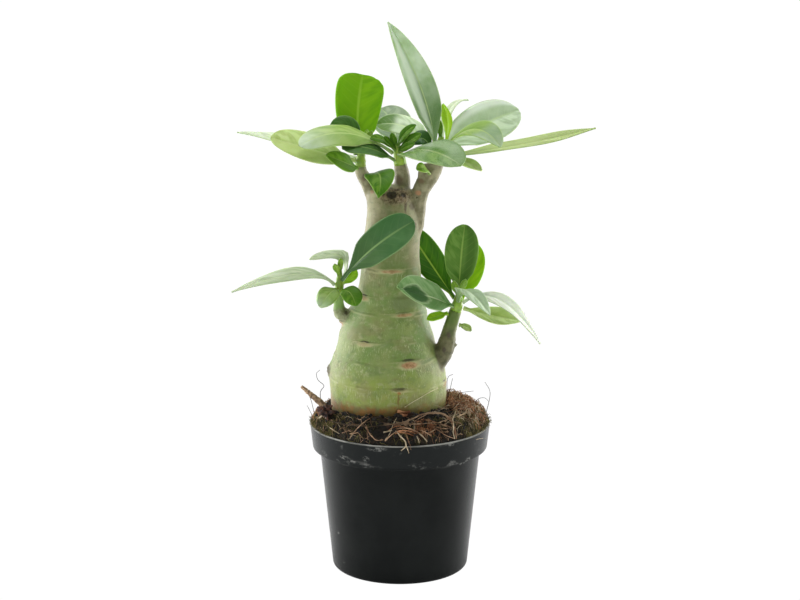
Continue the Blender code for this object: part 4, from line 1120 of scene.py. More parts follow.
# %% Trunk finish
def trunk_finish():
    """The caudex: green skin, grey bark, pale streaks, scars, pruned wounds, a stained foot and painted
    shade.
    """
    skin = Finish("caudex_skin", 0.5, 45.0, 1300.0, subsurface_weight=0.05, subsurface_scale=0.002,
                  specular_ior_level=0.3, sheen_weight=0.2, sheen_roughness=0.4, sheen_tint=(1.0, 0.92, 0.78))
    along, _, height = skin.parts(skin.position)
    wild = skin.push(skin.position, 500.0, (0.0018, 0.0018, 0.0011), 3.0)
    loose = skin.vector("ADD", skin.position, wild)
    torn = skin.vector("ADD", skin.position, skin.scaled(wild, (0.7, 0.7, 0.8)))
    paint_skin(skin, height)
    streak = paint_folds(skin)
    bark = paint_bark(skin, along, height)
    skin.paint(skin.spot(KNOB, (4.5, 5.5, 4.2), 0.4, loose), (0.085, 0.07, 0.04), 0.9)
    slit_shades = paint_scars(skin, loose)
    # Marks from the picture, four of them painted shade
    for pixel, wide, high, tone in TRUNK_MARKS_AND_SHADES:
        skin.paint(skin.spot(seen_on(trunk_tree, *pixel), (wide, 2 * wide, high), 0.6, loose), tone, 0.8)
    paint_wounds(skin, loose, torn, slit_shades)
    uneven = skin.plus(height, skin.times(skin.grain(skin.position, 330.0, 4.0), 0.009))
    stain = skin.times(skin.fall(uneven, 0.106, 0.1103), skin.ramp(along, 0.004, 0.022, 1.0, 0.45))
    crusty = skin.mix(skin.clouds(skin.position, 210.0, 0.42, 0.58), (0.17, 0.135, 0.04), (0.24, 0.11, 0.025))
    skin.paint(stain, crusty, 0.92)
    relief = skin.plus(skin.times(skin.fine, 0.5), skin.times(streak, 0.6),
                       skin.times(bark, skin.grain(skin.position, 520.0)))
    return skin.dress(relief, 0.0003, skin.ramp(skin.fine, 0.3, 0.7, 0.42, 0.6))


finish_piece(caudex, trunk_finish(), "caudex", "caudex")


# %% [markdown]
# ## The green tips
# Each shoot goes on growing from a soft green end, with leaf bases round it and the first young
# leaves still upright. The end is a tapered tube, so it starts as a curve with a round bevel and
# is converted to a mesh. Its young leaves are made like the grown ones and joined into one piece.

# %% Strands and stalks
def strands(name, paths, sides=1):
    """Round strands as one mesh: a curve with one spline for each path of points and radii."""
    bpy.ops.curve.primitive_nurbs_path_add()
    curve = bpy.context.object
    curve.name = name
    curve.data.splines.clear()
    for path in paths:
        spline = curve.data.splines.new("POLY")
        spline.points.add(len(path) - 1)
        for point, (x, y, z, radius) in zip(spline.points, path):
            point.co = (x * MM, y * MM, z * MM, 1)
            point.radius = radius
    curve.data.dimensions = "3D"
    curve.data.bevel_depth = MM
    curve.data.bevel_resolution = sides
    curve.data.use_fill_caps = True
    pick(curve)
    bpy.ops.object.convert(target="MESH")
    piece = bpy.context.object
    edit_all(piece, MERGE)
    return piece


def join(name, pieces):
    """Join pieces into one object."""
    pick(pieces[0])
    for piece in pieces[1:]:
        piece.select_set(True)
    bpy.ops.object.join()
    pieces[0].name = name
    return pieces[0]


def lean_row(row):
    """A row of x, y, z and radius moved from the plant's frame to the pot's."""
    return (*(to_pot @ Vector(row[:3])), row[3])


# %% Tip finish
def tip_finish():
    """Fresh green growth, with faint brown rings."""
    shoot = Finish("shoot_green", 0.42, 160.0, 1800.0, subsurface_weight=0.25, subsurface_scale=0.0015)
    shoot.ground((0.16, 0.30, 0.02), (0.30, 0.46, 0.04))
    flat = shoot.scaled(shoot.position, (0.3, 0.3, 1.0))
    shoot.paint(shoot.clouds(flat, 700.0, 0.55, 0.7, 0.35, 2.0), (0.20, 0.22, 0.10))
    return shoot.dress(shoot.fine, 0.0002)


# %% Make the tips
TIP_STEPS = 7
TIP_ROOM = 0.9
RING_LIFT = 0.35
YOUNG_SINK = 0.7
YOUNG_LOOK = {"crown_middle": "green", "crown_right": "green"}


def model_stem(shoot):
    """One green end, ringed by its leaf bases."""
    axis = shoot_axis(shoot)
    start, end = axis[-2], axis[-1]
    rise = (start - axis[-3])[:3]
    rise = rise / np.linalg.norm(rise)
    path = [(*(start[:3] + rise * lift), start[3] * TIP_ROOM) for lift in (-0.6, 1.4)]
    collar = np.array(path[-1])
    for step in range(1, TIP_STEPS):
        share = step / (TIP_STEPS - 1)
        row = collar + (end - collar) * share
        row[3] += RING_LIFT * (step % 2) * (1 - share)
        path.append(tuple(row))
    return strands(shoot + "_growth", [[lean_row(row) for row in path]], sides=4)


green_growth = tip_finish()
for shoot, young in YOUNG.items():
    finish_piece(model_stem(shoot), green_growth, "shoot_green", shoot + "_tip")
    blades = [model_blade("young", leaf, seat_of(shoot, leaf, YOUNG_SINK)) for leaf in young]
    look = YOUNG_LOOK.get(shoot, "lime")
    finish_piece(join(shoot + "_young", blades), leaf_finishes[look], "shoot_green")

# %% [markdown]
# ## The pot
# A nursery pot is blown from one thin sheet of black plastic. By hand it is a circle that is
# extruded and scaled again and again: up the outside, out over the step under the collar, over
# the rim and down the inside. Small extra rows beside each corner keep the corners crisp.

# %% Pot sizes from the frame
pot_low, pot_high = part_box("pot")
RIM_RADIUS = (pot_high.x - pot_low.x) / 2 / MM
POT_HEIGHT = pot_high.z / MM
COLLAR_HEIGHT = 14.5
COLLAR_FOOT = RIM_RADIUS - 1.5
WALL_TOP = RIM_RADIUS - 5.7
BASE_RADIUS = RIM_RADIUS - 12.7
CORNER = 2.4
WALL = 1.2
FLOOR = 1.6
POT_SIDES = 144
STEP_HEIGHT = POT_HEIGHT - COLLAR_HEIGHT
print("pot", round(2 * RIM_RADIUS, 1), "mm wide,", round(POT_HEIGHT, 1), "mm high")


def pot_rows():
    """Radius and height, from the underside's edge up the outside and down the inside."""
    step, top = STEP_HEIGHT, POT_HEIGHT
    rows = [(BASE_RADIUS - CORNER, 0)]
    for turn in range(15, 91, 15):
        angle = math.radians(turn)
        rows.append((BASE_RADIUS - CORNER + CORNER * math.sin(angle), CORNER - CORNER * math.cos(angle)))
    rows += [(WALL_TOP - 0.1, step - 2.6), (WALL_TOP, step - 1.7), (WALL_TOP + 0.5, step - 0.8)]
    rows += [(COLLAR_FOOT - 0.8, step - 0.1), (COLLAR_FOOT - 0.2, step + 0.1), (COLLAR_FOOT, step + 0.6)]
    rows += [(COLLAR_FOOT + 0.15, step + 2), (RIM_RADIUS - 0.1, top - 1.6), (RIM_RADIUS, top - 0.9)]
    rows += [(RIM_RADIUS - 0.15, top - 0.3), (RIM_RADIUS - 0.5, top), (RIM_RADIUS - 0.9, top - 0.1)]
    rows += [(RIM_RADIUS - WALL, top - 0.5), (COLLAR_FOOT - WALL, step + 0.8), (WALL_TOP - WALL, step - 1.8)]
    rows += [(BASE_RADIUS - WALL, FLOOR + 3), (BASE_RADIUS - WALL - CORNER, FLOOR)]
    return rows


# %% Extrude the pot
def model_pot():
    """The pot as one wall with a floor at both ends of its profile."""
    rows = pot_rows()
    radius, height = rows[0]
    bpy.ops.mesh.primitive_circle_add(vertices=POT_SIDES, radius=radius * MM)
    pot = bpy.context.object
    pot.name = "pot_wall"
    bpy.ops.object.mode_set(mode="EDIT")
    bpy.ops.mesh.select_all(action="SELECT")
    for next_radius, next_height in rows[1:]:
        rise = (next_height - height) * MM
        bpy.ops.mesh.extrude_region_move(TRANSFORM_OT_translate={"value": (0, 0, rise)})
        grow = next_radius / radius
        bpy.ops.transform.resize(value=(grow, grow, 1), center_override=(0, 0, next_height * MM))
        radius, height = next_radius, next_height
    bpy.ops.mesh.edge_face_add()
    bpy.ops.mesh.select_all(action="DESELECT")
    bpy.ops.mesh.select_non_manifold()
    bpy.ops.mesh.edge_face_add()
    bpy.ops.object.mode_set(mode="OBJECT")
    edit_all(pot, FACE_OUT)
    return pot


# %% Drill the drainage holes
DRAIN_COUNT = 6
DRAIN_RADIUS = 4.0
DRAIN_RING = 26.0
DRAIN_START = 0.35


def drill(pot):
    """Cut the round drainage holes, with rods that are then removed."""
    for index in range(DRAIN_COUNT):
        angle = 2 * math.pi * (index + DRAIN_START) / DRAIN_COUNT
        place = Vector((DRAIN_RING * math.cos(angle), DRAIN_RING * math.sin(angle), FLOOR / 2)) * MM
        bpy.ops.mesh.primitive_cylinder_add(vertices=32, radius=DRAIN_RADIUS * MM, depth=6 * MM,
                                            location=place)
        rod = bpy.context.object
        apply_modifier(pot, "BOOLEAN", operation="DIFFERENCE", object=rod)
        bpy.data.objects.remove(rod)


pot = model_pot()
drill(pot)
pot_tree = surface_tree(pot)

# %% [markdown]
# Black nursery plastic is never quite black: it is satin, greyer where it is scuffed, chalky
# along the collar's lower edge and the rim, and it carries splashes of dried soil. The splashes
# are where the picture shows them: a pixel, half a width and half a height.

# %% Pot finish
POT_MARKS = (
    ((344, 457.5), 5.5, 1.6), ((353, 461.5), 3.0, 1.3), ((360, 463), 2.6, 1.2), ((366, 459), 2.6, 2.2),
    ((463, 463), 4.0, 1.4), ((468, 459.5), 3.6, 2.0), ((378, 449.5), 8.0, 1.8), ((452, 444), 6.0, 1.5),
    ((338.5, 533), 1.4, 1.4), ((341, 552), 1.0, 1.0), ((344, 562), 1.6, 1.0),
)


def pot_finish():
    """Satin black plastic with chalky scuffs on the collar and rim."""
    plastic = Finish("black_plastic", 0.3, 35.0, 2200.0, specular_ior_level=0.075)
    height = plastic.parts(plastic.position)[2]
    step = STEP_HEIGHT * MM
    collar = plastic.ramp(height, step, step + 0.002)
    plastic.ground((0.003, 0.0042, 0.0040), (0.006, 0.0075, 0.0072))
    plastic.paint(collar, (0.010, 0.012, 0.012), 0.8)
    rub = plastic.grain(plastic.scaled(plastic.position, (1.0, 1.0, 1.6)), 85.0, 6.0, 0.7)
    foot = plastic.fall(plastic.apart(height, step + 0.0015), 0.0, 0.0045)
    chalk = plastic.times(plastic.ramp(rub, 0.53, 0.68), foot)
    rim = plastic.ramp(height, (POT_HEIGHT - 1.0) * MM, (POT_HEIGHT - 0.2) * MM)
    lip = plastic.times(rim, plastic.ramp(rub, 0.35, 0.6, 0.5, 1.3))
    scuff = plastic.times(plastic.ramp(rub, 0.6, 0.75, 0.0, 0.6), collar)
    flat = plastic.scaled(plastic.position, (1.0, 1.0, 2.0))
    crust = plastic.clouds(flat, 420.0, 0.46, 0.6, 1.0, 5.0, 0.75)
    splashes = [plastic.times(plastic.spot(seen_on(pot_tree, *pixel), (wide, wide, high), 0.7), crust, 1.5)
                for pixel, wide, high in POT_MARKS]
    marks = plastic.most(chalk, lip, scuff, *splashes)
    plastic.paint(marks, (0.30, 0.30, 0.28), 0.36)
    plastic.paint(lip, (0.42, 0.42, 0.38), 0.5)
    rough = plastic.plus(plastic.ramp(plastic.fine, 0.3, 0.7, 0.3, 0.42), plastic.times(marks, 0.3))
    return plastic.dress(plastic.fine, 0.00006, rough)


finish_piece(pot, pot_finish(), "black_plastic", "pot")
pick(pot)
bpy.ops.object.shade_smooth_by_angle(angle=math.radians(35))

# %% [markdown]
# ## The soil
# The root ball stands a little above the rim. Its copy gets crumbs and hollows from noise in
# three sizes, but only on its open top: the sides stay clear of the pot's wall.

# %% Shape the mound
MOUND_FOOT = 88.0
SOIL_REACH = 51.0
HOLLOW = Vector((-9, -44.5, 93))
HOLLOW_DEPTH = 3.2


def soil_relief(place, normal):
    """Crumbs on the top face only, and one dark hollow at the front."""
    if place.z < MOUND_FOOT - 1.5 or normal.z < 0.2:
        return 0.0
    open_top = min(1, max(0, (SOIL_REACH - math.hypot(place.x, place.y)) / 1.5))
    crumbs = 1.3 * noise.noise(place / 4.6) + 0.9 * noise.noise(place / 2.1) + 0.4 * noise.noise(place / 0.9)
    away = place - HOLLOW
    return open_top * (crumbs - HOLLOW_DEPTH * bell(away.x, 7) * bell(away.y, 3.2))


soil = fine_copy("soil", "soil_mound", 0.9, 2)
shift_points(soil, soil_relief)
soil_tree = surface_tree(soil)


# %% Soil finish
def soil_finish():
    """Dark peat with rusty and mossy patches."""
    peat = Finish("soil", 0.95, 90.0, 1500.0)
    peat.ground((0.002, 0.0018, 0.0012), (0.016, 0.012, 0.007), peat.fine)
    peat.paint(peat.clouds(peat.position, 150.0, 0.58, 0.72, 0.5, 3.0), (0.075, 0.028, 0.012))
    elsewhere = peat.vector("ADD", peat.position, (3.0, 1.0, 0.0))
    peat.paint(peat.clouds(elsewhere, 70.0, 0.56, 0.68, 0.6, 3.0), (0.032, 0.036, 0.011))
    return peat.dress(peat.fine, 0.0008)


soil_look = soil_finish()
finish_piece(soil, soil_look, "soil", "soil")

# %% [markdown]
# ## Crumbs
# Hundreds of crumbs of peat and bark break the mound's outline. One crumb is modelled, a small
# round lump pushed out of shape, and the rest are copies of it, turned, sized and scattered by a
# seeded draw, then joined.

# %% Scatter the crumbs
SEED = 7
TRUNK_FOOT_X = -8.2
TRUNK_RADIUS = 34.5
CRUMB_COUNT = 760
CRUMB_SIZES = (0.5, 1.5)
rng = random.Random(SEED)


def ground_at(x, y):
    """The mound's height at a place, or the rim's where there is no soil."""
    hit = soil_tree.ray_cast(Vector((x, y, 150)) * MM, Vector((0, 0, -1)))[0]
    return hit.z / MM if hit else POT_HEIGHT


def open_soil(x, y, reach):
    """Whether a place is soil: not trunk, not the hollow, and not past the rim."""
    in_hollow = math.hypot((x - HOLLOW.x) / 6.5, (y - HOLLOW.y) / 3.4) < 1
    return math.hypot(x - TRUNK_FOOT_X, y) > TRUNK_RADIUS and math.hypot(x, y) < reach and not in_hollow


def mound_place(turns=(-180, 180), reaches=(30, 50.5)):
    """A random place on open soil, between two angles from the front and two reaches."""
    while True:
        turn, reach = math.radians(rng.uniform(*turns)), rng.uniform(*reaches)
        x, y = reach * math.sin(turn), -reach * math.cos(turn)
        if open_soil(x, y, 52.0):
            return x, y


def model_crumb():
    """One crumb: a lump of twenty faces, pushed out of shape."""
    bpy.ops.mesh.primitive_ico_sphere_add(subdivisions=1, radius=MM)
    crumb = bpy.context.object
    crumb.name = "crumb"
    for vertex in crumb.data.vertices:
        vertex.co *= 1 + 0.45 * noise.noise(vertex.co / MM * 1.7)
    return crumb


def scatter(name, count, sizes, finish, slot):
    """Copies of the crumb over the mound, joined into one piece."""
    seed_crumb = model_crumb()
    pieces = []
    for _ in range(count):
        x, y = mound_place()
        size = rng.uniform(*sizes)
        crumb = seed_crumb.copy()
        crumb.data = seed_crumb.data.copy()
        bpy.context.scene.collection.objects.link(crumb)
        crumb.location = Vector((x, y, ground_at(x, y) + 0.25 * size)) * MM
        crumb.rotation_euler = [rng.uniform(0, 6.28) for _ in range(3)]
        crumb.scale = [size * rng.uniform(0.6, 1.3) for _ in range(3)]
        pieces.append(crumb)
    bpy.data.objects.remove(seed_crumb)
    return finish_piece(join(name, pieces), finish, slot)


scatter("soil_crumbs", CRUMB_COUNT, CRUMB_SIZES, soil_look, "soil")

# %% [markdown]
# ## Roots
# Old roots lie over the mound in arches. The big ones are a finer copy of their solid, made
# knobbly and a little slimmer. Their colour runs from pale tan to red-brown along their length.

# %% Root finishes
SPECK = (0.05, 0.03, 0.018)
FIBRE_COLOURS = {
    "pale": ((0.30, 0.23, 0.14), (0.60, 0.50, 0.34)),
    "tan": ((0.17, 0.09, 0.048), (0.44, 0.28, 0.17)),
    "rust": ((0.17, 0.062, 0.024), (0.52, 0.26, 0.125)),
    "moss": ((0.038, 0.035, 0.010), (0.17, 0.15, 0.046)),
    "dark": ((0.008, 0.006, 0.004), (0.042, 0.027, 0.015)),
    "straw": ((0.60, 0.56, 0.32), (0.80, 0.76, 0.50)),
}


def dress_root(root):
    """End a root's finish: dark specks and a fine bump."""
    root.paint(root.ramp(root.fine, 0.5, 0.75, 0.0, 0.5), SPECK)
    return root.dress(root.fine, 0.0003)


def root_finish(name, dark, light):
    """A dry root or fibre, whose colour changes along it."""
    root = Finish(name, 0.8, 170.0, 2400.0, specular_ior_level=0.25)
    root.ground(dark, light)
    return dress_root(root)


def big_root_finish():
    """Pale tan to brown, darker in long stretches and where soil covers the root at the front left."""
    root = Finish("old_root", 0.8, 110.0, 2400.0, specular_ior_level=0.2)
    root.ground((0.19, 0.10, 0.055), (0.47, 0.34, 0.21))
    root.paint(root.clouds(root.position, 42.0, 0.42, 0.58, 1.0, 2.0), (0.075, 0.04, 0.022), 0.7)
    x, y, _ = root.parts(root.position)
    root.paint(root.times(root.ramp(x, -0.012, 0.004, 0.9, 0.0), root.fall(y, -0.03, -0.02)),
               (0.030, 0.022, 0.012))
    return dress_root(root)


fibre_looks = {name: root_finish(name + "_root", *pair) for name, pair in FIBRE_COLOURS.items()}


# %% The big roots
def root_relief(place, _):
    """Knobs and thin places, and a slimmer root than its solid."""
    return 0.25 * noise.noise(place / 1.3) + 0.25 * noise.noise(place / 5) - 0.4


big_roots = fine_copy("surface_roots", "surface_roots_fine", 0.34, 3)
shift_points(big_roots, root_relief)
finish_piece(big_roots, big_root_finish(), "root", "surface_roots")
root_tree = surface_tree(big_roots)

# %% [markdown]
# ## Fibres
# A pot-bound plant pushes up a mat of fine rootlets. Hundreds of them would be slow to model as
# solids, so each is a strand of a curve with a small bevel, thick at one end and hair-fine at the
# other. They crowd in patches: rusty ones at the right, mossy fuzz at the rim's two ends, dark ones
# between. Each patch is a stretch of angles from the front, a stretch of reaches from the pot's
# axis, how far its fibres may reach, a count, ranges of length, lift and thickness, and a colour.

# %% Patches of fibres
FIBRE_PATCHES = (
    ("dark_front", (-80, 60), (36, 51.5), 51.6, 420, (4, 12), (0.2, 0.9), (0.12, 0.24), "dark"),
    ("moss_front", (-80, 60), (40, 51.5), 51.9, 300, (3, 8), (0.2, 1.0), (0.10, 0.18), "moss"),
    ("tan_front", (-70, 60), (38, 51), 51.6, 90, (6, 17), (0.3, 1.6), (0.13, 0.26), "tan"),
    ("pale_front", (-70, 70), (41, 51.5), 51.9, 34, (7, 16), (0.5, 2.0), (0.12, 0.2), "pale"),
    ("rust_clump", (12, 25), (41, 47), 51.0, 70, (3, 8), (0.5, 2.2), (0.12, 0.26), "rust"),
    ("rust_right", (62, 135), (26, 51), 51.8, 420, (6, 18), (0.5, 4.2), (0.11, 0.24), "rust"),
    ("tan_right", (56, 135), (28, 51), 52.0, 170, (7, 22), (0.8, 4.4), (0.13, 0.26), "tan"),
    ("pale_right", (52, 125), (30, 51), 52.0, 96, (8, 24), (1.0, 4.8), (0.12, 0.2), "pale"),
    ("dark_right", (40, 100), (34, 51), 51.6, 200, (4, 12), (0.2, 1.4), (0.12, 0.26), "dark"),
    ("moss_right", (46, 96), (43, 51.8), 53.9, 620, (2, 7), (0.5, 3.0), (0.09, 0.17), "moss"),
    ("moss_left", (-98, -48), (43, 51.8), 53.6, 560, (2, 7), (0.5, 2.6), (0.09, 0.17), "moss"),
    ("rust_left", (-110, -78), (42, 51), 52.0, 70, (3, 9), (0.5, 3.0), (0.12, 0.25), "rust"),
    ("tan_left", (-110, -50), (42, 51), 52.5, 50, (5, 12), (0.5, 2.6), (0.12, 0.22), "tan"),
    ("moss_back", (120, 240), (36, 51.5), 52.5, 420, (4, 12), (0.3, 2.4), (0.12, 0.24), "moss"),
    ("dark_back", (110, 250), (36, 51.5), 51.8, 260, (4, 12), (0.3, 1.6), (0.14, 0.26), "dark"),
    ("tan_back", (115, 245), (36, 51), 52.0, 150, (6, 18), (0.3, 2.4), (0.14, 0.3), "tan"),
)
FIBRE_STEPS = 6
FIBRE_TAPER = 0.6


def fibre(turns, reaches, limit, length, lift, thick):
    """A path of x, y, z and radius that wanders over the mound and arches off it."""
    x, y = mound_place(turns, reaches)
    heading = math.atan2(y, x) + rng.choice((-1, 1)) * rng.uniform(0.2, 2.0)
    turn = rng.uniform(-0.4, 0.4)
    path = []
    for step in range(FIBRE_STEPS):
        share = step / (FIBRE_STEPS - 1)
        if not open_soil(x, y, limit):
            break
        hump = lift * math.sin(math.pi * min(1, share * 1.2))
        path.append((x, y, ground_at(x, y) + thick + hump, thick * (1 - FIBRE_TAPER * share)))
        x += length / FIBRE_STEPS * math.cos(heading)
        y += length / FIBRE_STEPS * math.sin(heading)
        heading += turn + rng.uniform(-0.35, 0.35)
    return path


for name, turns, reaches, limit, count, lengths, lifts, thicks, look in FIBRE_PATCHES:
    paths = [fibre(turns, reaches, limit, rng.uniform(*lengths), rng.uniform(*lifts), rng.uniform(*thicks))
             for _ in range(count)]
    patch = strands(name + "_fibres", [path for path in paths if len(path) > 2], sides=0)
    finish_piece(patch, fibre_looks[look], "root")

# %% [markdown]
# ## The strands that the picture shows
# Some strands stand out enough to be placed one by one. Each is a radius and a few pixels of the
# picture. A ray from the camera through a pixel finds the soil, root, rim or trunk that the strand
# lies on there, so it rests on what carries it from every side. A standing hair starts on the
# soil and then keeps that depth.

# %% Strands and hairs, by their pixels
LYING = {
    "pale": ((0.5, (383.5, 432.4), (394.4, 430.5), (400.6, 436.5), (405.3, 441.5), (405.7, 446.4),
              (401, 450.8)),
             (0.42, (405.5, 443.5), (407, 447.8), (409, 453.2)),
             (0.32, (416, 433.8), (417.6, 438), (419.5, 442.3)),
             (0.42, (418, 432.6), (422.8, 436.5), (427.2, 441.6)),
             (0.5, (456, 410), (454.4, 415), (452.5, 419.4), (453.6, 426), (453.2, 433), (454.8, 439)),
             (0.45, (463.8, 406.5), (458, 412.8), (452.6, 419)),
             (0.32, (458, 413.4), (462.4, 417), (468, 419.6)),
             (0.28, (475, 409.3), (470.8, 415), (468, 419.8)),
             (0.25, (477.8, 416.3), (473, 417.8), (468.6, 419)),
             (0.36, (314, 411.6), (317.4, 417), (320.8, 422)),
             (0.7, (319.4, 418), (322, 416), (324.6, 415)),
             (0.3, (442.9, 426), (446.8, 423), (450.5, 420)),
             (0.16, (476, 439.4), (481, 438.6), (486, 438.4)),
             (0.3, (326.7, 425.4), (333, 429.8), (339.3, 433.8)),
             (0.28, (396.8, 417.8), (393.8, 423), (391.8, 428), (389.6, 434), (385, 440))),
    "tan": ((0.55, (394.4, 429.8), (400, 428.3), (406, 428.2), (412.5, 429.8), (418, 432.6), (423, 436)),
            (0.35, (373, 416.8), (366.6, 420.5), (361, 424.8), (355.4, 430.6), (349.8, 437.6)),
            (0.38, (366, 426), (368.8, 432.4), (372.5, 437), (376.6, 440.2), (383.4, 440)),
            (0.3, (342, 433), (346.2, 431.6), (350.5, 429.8)),
            (0.26, (337.2, 416.4), (336.6, 420.4), (336.8, 424.8)),
            (0.4, (385, 441), (389, 437), (394, 433), (398, 431)),
            (0.3, (428.8, 424.8), (437, 429.6), (445.5, 435.2), (453.6, 438.4)),
            (0.28, (432, 426.2), (440.6, 428.2), (449.6, 429)),
            (0.34, (418, 429.8), (425, 432), (431.4, 436)),
            (0.3, (409, 426), (416, 420.4), (424.4, 415.6), (434.2, 411.2)),
            (0.32, (447, 412), (451, 417.6), (453, 423))),
    "rust": ((0.55, (397, 431.5), (404, 430.5), (411, 431.5), (417, 434)),
             (0.5, (395, 433.6), (401, 432.5), (408, 433.5), (414, 436)),
             (1.3, (397.5, 411), (401.5, 412.5), (406.5, 412.5), (410, 411.5)),
             (1.0, (400.5, 414.5), (404.5, 415.5), (408.5, 414.5)),
             (0.3, (446, 404), (452, 401.5), (459, 401), (466, 402.5)),
             (0.3, (455, 405), (462, 402), (470, 402), (477, 405)),
             (0.25, (466, 399.5), (472, 400), (479, 403), (484, 407)),
             (0.34, (388, 431), (393, 427.5), (399, 426), (406, 427.5))),
    "straw": ((0.3, (438, 388), (429, 392.5), (421.2, 397.2), (412, 402.5), (404.6, 407.3)),),
}
STANDING = (
    (0.23, (321, 402), (320.4, 392), (324, 385.8), (318, 380), (316.5, 373.5), (320, 370)),
    (0.23, (448.6, 402), (448.4, 394.6), (450.4, 388), (452.5, 378.4)),
    (0.19, (447.5, 402), (447.4, 379), (453, 374.2)),
    (0.21, (485.5, 408), (489.4, 399.5), (489.7, 390.4), (484.8, 382)),
    (0.19, (455.4, 401), (457, 395.3), (462.4, 392.5), (473.6, 391)),
    (0.18, (459, 402), (462, 396), (469, 398), (475, 402.4)),
    (0.18, (474, 403), (479, 398.5), (485, 398), (489, 402)),
    (0.19, (314.7, 408), (311, 400), (307.7, 393.8)),
    (0.17, (313, 412), (309, 409), (307, 405.5)),
)
LYING_THICKNESS = 0.85
LYING_GAP = 0.1
LYING_LOW = 0.4
LYING_ARCH = 1.5
LYING_TAPER = 0.35
STANDING_TAPER = 0.5
CARRIERS = (soil_tree, root_tree, pot_tree, trunk_tree)


# %% From a pixel to a place
def lying_at(across, down, radius, lift=0.0):
    """Where a strand lies on the first thing behind a pixel, or just below it; soil lifts it."""
    while True:
        eye, way = ray_through(across, down)
        hits = [(*tree.ray_cast(eye, way), tree) for tree in CARRIERS]
        hits = [hit for hit in hits if hit[0]]
        if hits:
            place, _, _, _, tree = min(hits, key=lambda hit: hit[3])
            on_soil = tree in (soil_tree, root_tree)
            return place / MM - way * (radius + LYING_GAP + (lift if on_soil else 0))
        down += 1


def rounded(path, steps=4):
    """The same path with points between, on a smooth curve that passes through all of its points."""
    rows = np.array(path)
    rows = np.vstack((2 * rows[0] - rows[1], rows, 2 * rows[-1] - rows[-2]))
    smooth = []
    for before, here, there, after in zip(rows, rows[1:], rows[2:], rows[3:]):
        for t in (step / steps for step in range(steps)):
            bend = 2 * before - 5 * here + 4 * there - after
            twist = 3 * here - before - 3 * there + after
            smooth.append(here + 0.5 * t * (there - before + t * (bend + t * twist)))
    return [tuple(row) for row in (*smooth, rows[-2])]


def lying_path(radius, pixels):
    """A strand that lies on what is behind its pixels and arches a little off the soil."""
    last = len(pixels) - 1
    path = []
    for index, (across, down) in enumerate(pixels):
        lift = LYING_LOW + LYING_ARCH * math.sin(math.pi * index / last)
        path.append((*lying_at(across, down, radius, lift), radius * (1 - LYING_TAPER * index / last)))
    return rounded(path)


def standing_path(radius, pixels):
    """A hair that starts on the soil and keeps the depth of its start."""
    start = lying_at(*pixels[0], radius)
    path = [(*start, radius)]
    for index, (across, down) in enumerate(pixels[1:], 1):
        eye, way = ray_through(across, down)
        place = eye / MM + way * ((start.y - eye.y / MM) / way.y)
        path.append((*place, radius * (1 - STANDING_TAPER * index / len(pixels))))
    return rounded(path)


for look, rows in LYING.items():
    paths = [lying_path(radius * LYING_THICKNESS, pixels) for radius, *pixels in rows]
    finish_piece(strands(look + "_strands", paths), fibre_looks[look], "root")
hairs = strands("standing_hairs", [standing_path(radius, pixels) for radius, *pixels in STANDING])
finish_piece(hairs, fibre_looks["dark"], "root")


# %% [markdown]
# ## The dry stick and the bark
# At the left a dry stick stands out of the soil beside a dark lump of bark. Both are finer copies
# of their solids with a cracked surface.

# %% Stick and bark
def bark_finish(name, dark, light):
    """Old dry wood, darker in its cracks, with its grain along the height."""
    bark = Finish(name, 0.85)
    grain = bark.grain(bark.scaled(bark.position, (1.0, 1.0, 0.5)), 700.0, 5.0)
    bark.ground(dark, light, bark.ramp(grain, 0.35, 0.65))
    return bark.dress(grain, 0.0006)


def cracked(place):
    """A rough broken surface."""
    return 0.35 * noise.noise(place / 1.1) + 0.3 * noise.noise(place / 2.6)


stick = fine_copy("bark_stick", "dry_stick", 0.4, 1)
shift_points(stick, lambda place, _: 0.25 + cracked(place))
stick_wood = bark_finish("stick_wood", (0.10, 0.06, 0.032), (0.42, 0.28, 0.165))
finish_piece(stick, stick_wood, "bark", "bark_stick")
chunk = fine_copy("bark_chunk", "bark_lump", 0.4, 2)
shift_points(chunk, lambda place, _: 3.2 * noise.noise(place / 2.3) + 2.4 * cracked(place) - 0.4)
lump_bark = bark_finish("lump_bark", (0.007, 0.005, 0.005), (0.10, 0.04, 0.024))
finish_piece(chunk, lump_bark, "bark", "bark_chunk")

# %% [markdown]
# ## The studio
# The plant stands in a white light tent. Its sides and back glow and its front, where the
# photographer stands, is dimmer. So the trunk is brightest along its two edges, the black pot
# mirrors a pale strip at each side, and the leaves shine through where they hang against the
# light. A world whose glow grows from front to back does most of that, and lamps do the rest.

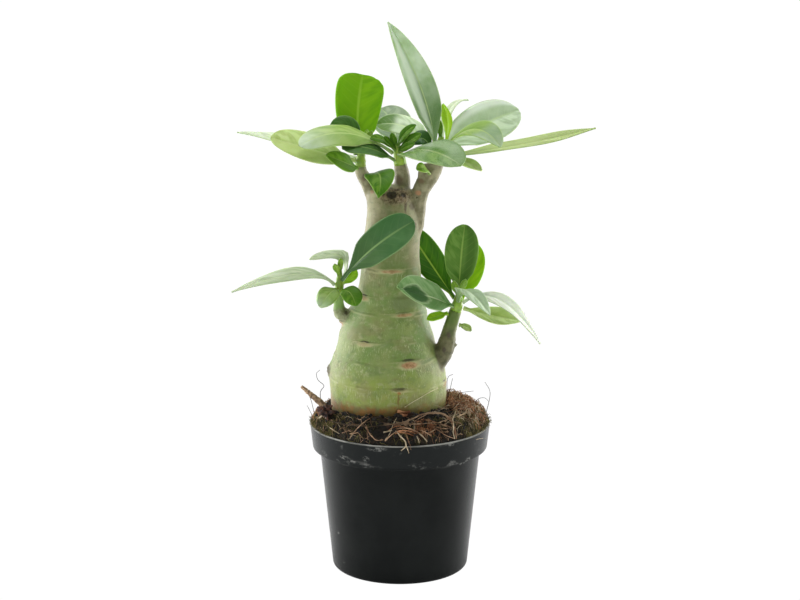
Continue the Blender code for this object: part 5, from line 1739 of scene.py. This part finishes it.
# %% Light the tent
LIT_POINT = Vector((0, 0, 0.17))
LAMPS = (
    ("left_panel", (-0.85, 0.42, 0.3), 0.8, 10.5),
    ("right_panel", (0.85, 0.42, 0.3), 0.8, 10),
    ("top_panel", (-0.1, 0.1, 1.2), 0.9, 7),
    ("front_fill", (-0.5, -1.5, 0.8), 0.9, 4.5),
)
for name, place, size, power in LAMPS:
    bpy.ops.object.light_add(type="AREA", location=place)
    lamp = bpy.context.object
    lamp.name = name
    lamp.data.size = size
    lamp.data.energy = power
    lamp.rotation_euler = (LIT_POINT - Vector(place)).to_track_quat("-Z", "Y").to_euler()
print(len(LAMPS), "lamps")

# %% A world that glows from the back
world = bpy.data.worlds.new("tent")
bpy.context.scene.world = world
world.use_nodes = True
sky = Tree(world.node_tree)
background = world.node_tree.nodes["Background"]
depth = sky.parts(sky.add("ShaderNodeTexCoord").outputs["Generated"])[1]
sky.put(background.inputs["Strength"], sky.ramp(depth, -0.7, 0.55, 0.12, 0.95))
sky.put(background.inputs["Color"], (1, 1, 1))
bpy.context.scene.view_settings.view_transform = "Standard"

# %% [markdown]
# ## The floor
# A plain pale floor goes far enough back to fill the picture, as the sweep of a light tent does.
# It is lit from below a little, like a light table, so it throws light up under the leaves. The
# camera itself sees it as plain white paper that is just not over-exposed, or the finest hairs
# would drown in it.

# %% Floor
bpy.ops.mesh.primitive_plane_add(size=60, location=(0, 0, -0.0003))
floor = bpy.context.object
floor.name = "studio_floor"
sweep = Finish("studio_white", 0.9, base_color=(0.93, 0.93, 0.93), emission_color=(1, 1, 1),
               emission_strength=0.38)
paper = sweep.add("ShaderNodeEmission", {"Color": (1, 1, 1), "Strength": 1.02}).outputs[0]
seen = sweep.add("ShaderNodeLightPath").outputs["Is Camera Ray"]
both = sweep.add("ShaderNodeMixShader", {0: seen, 1: sweep.shader.outputs[0], 2: paper}).outputs[0]
sweep.put(sweep.tree.nodes["Material Output"].inputs["Surface"], both)
floor.data.materials.append(sweep.material)
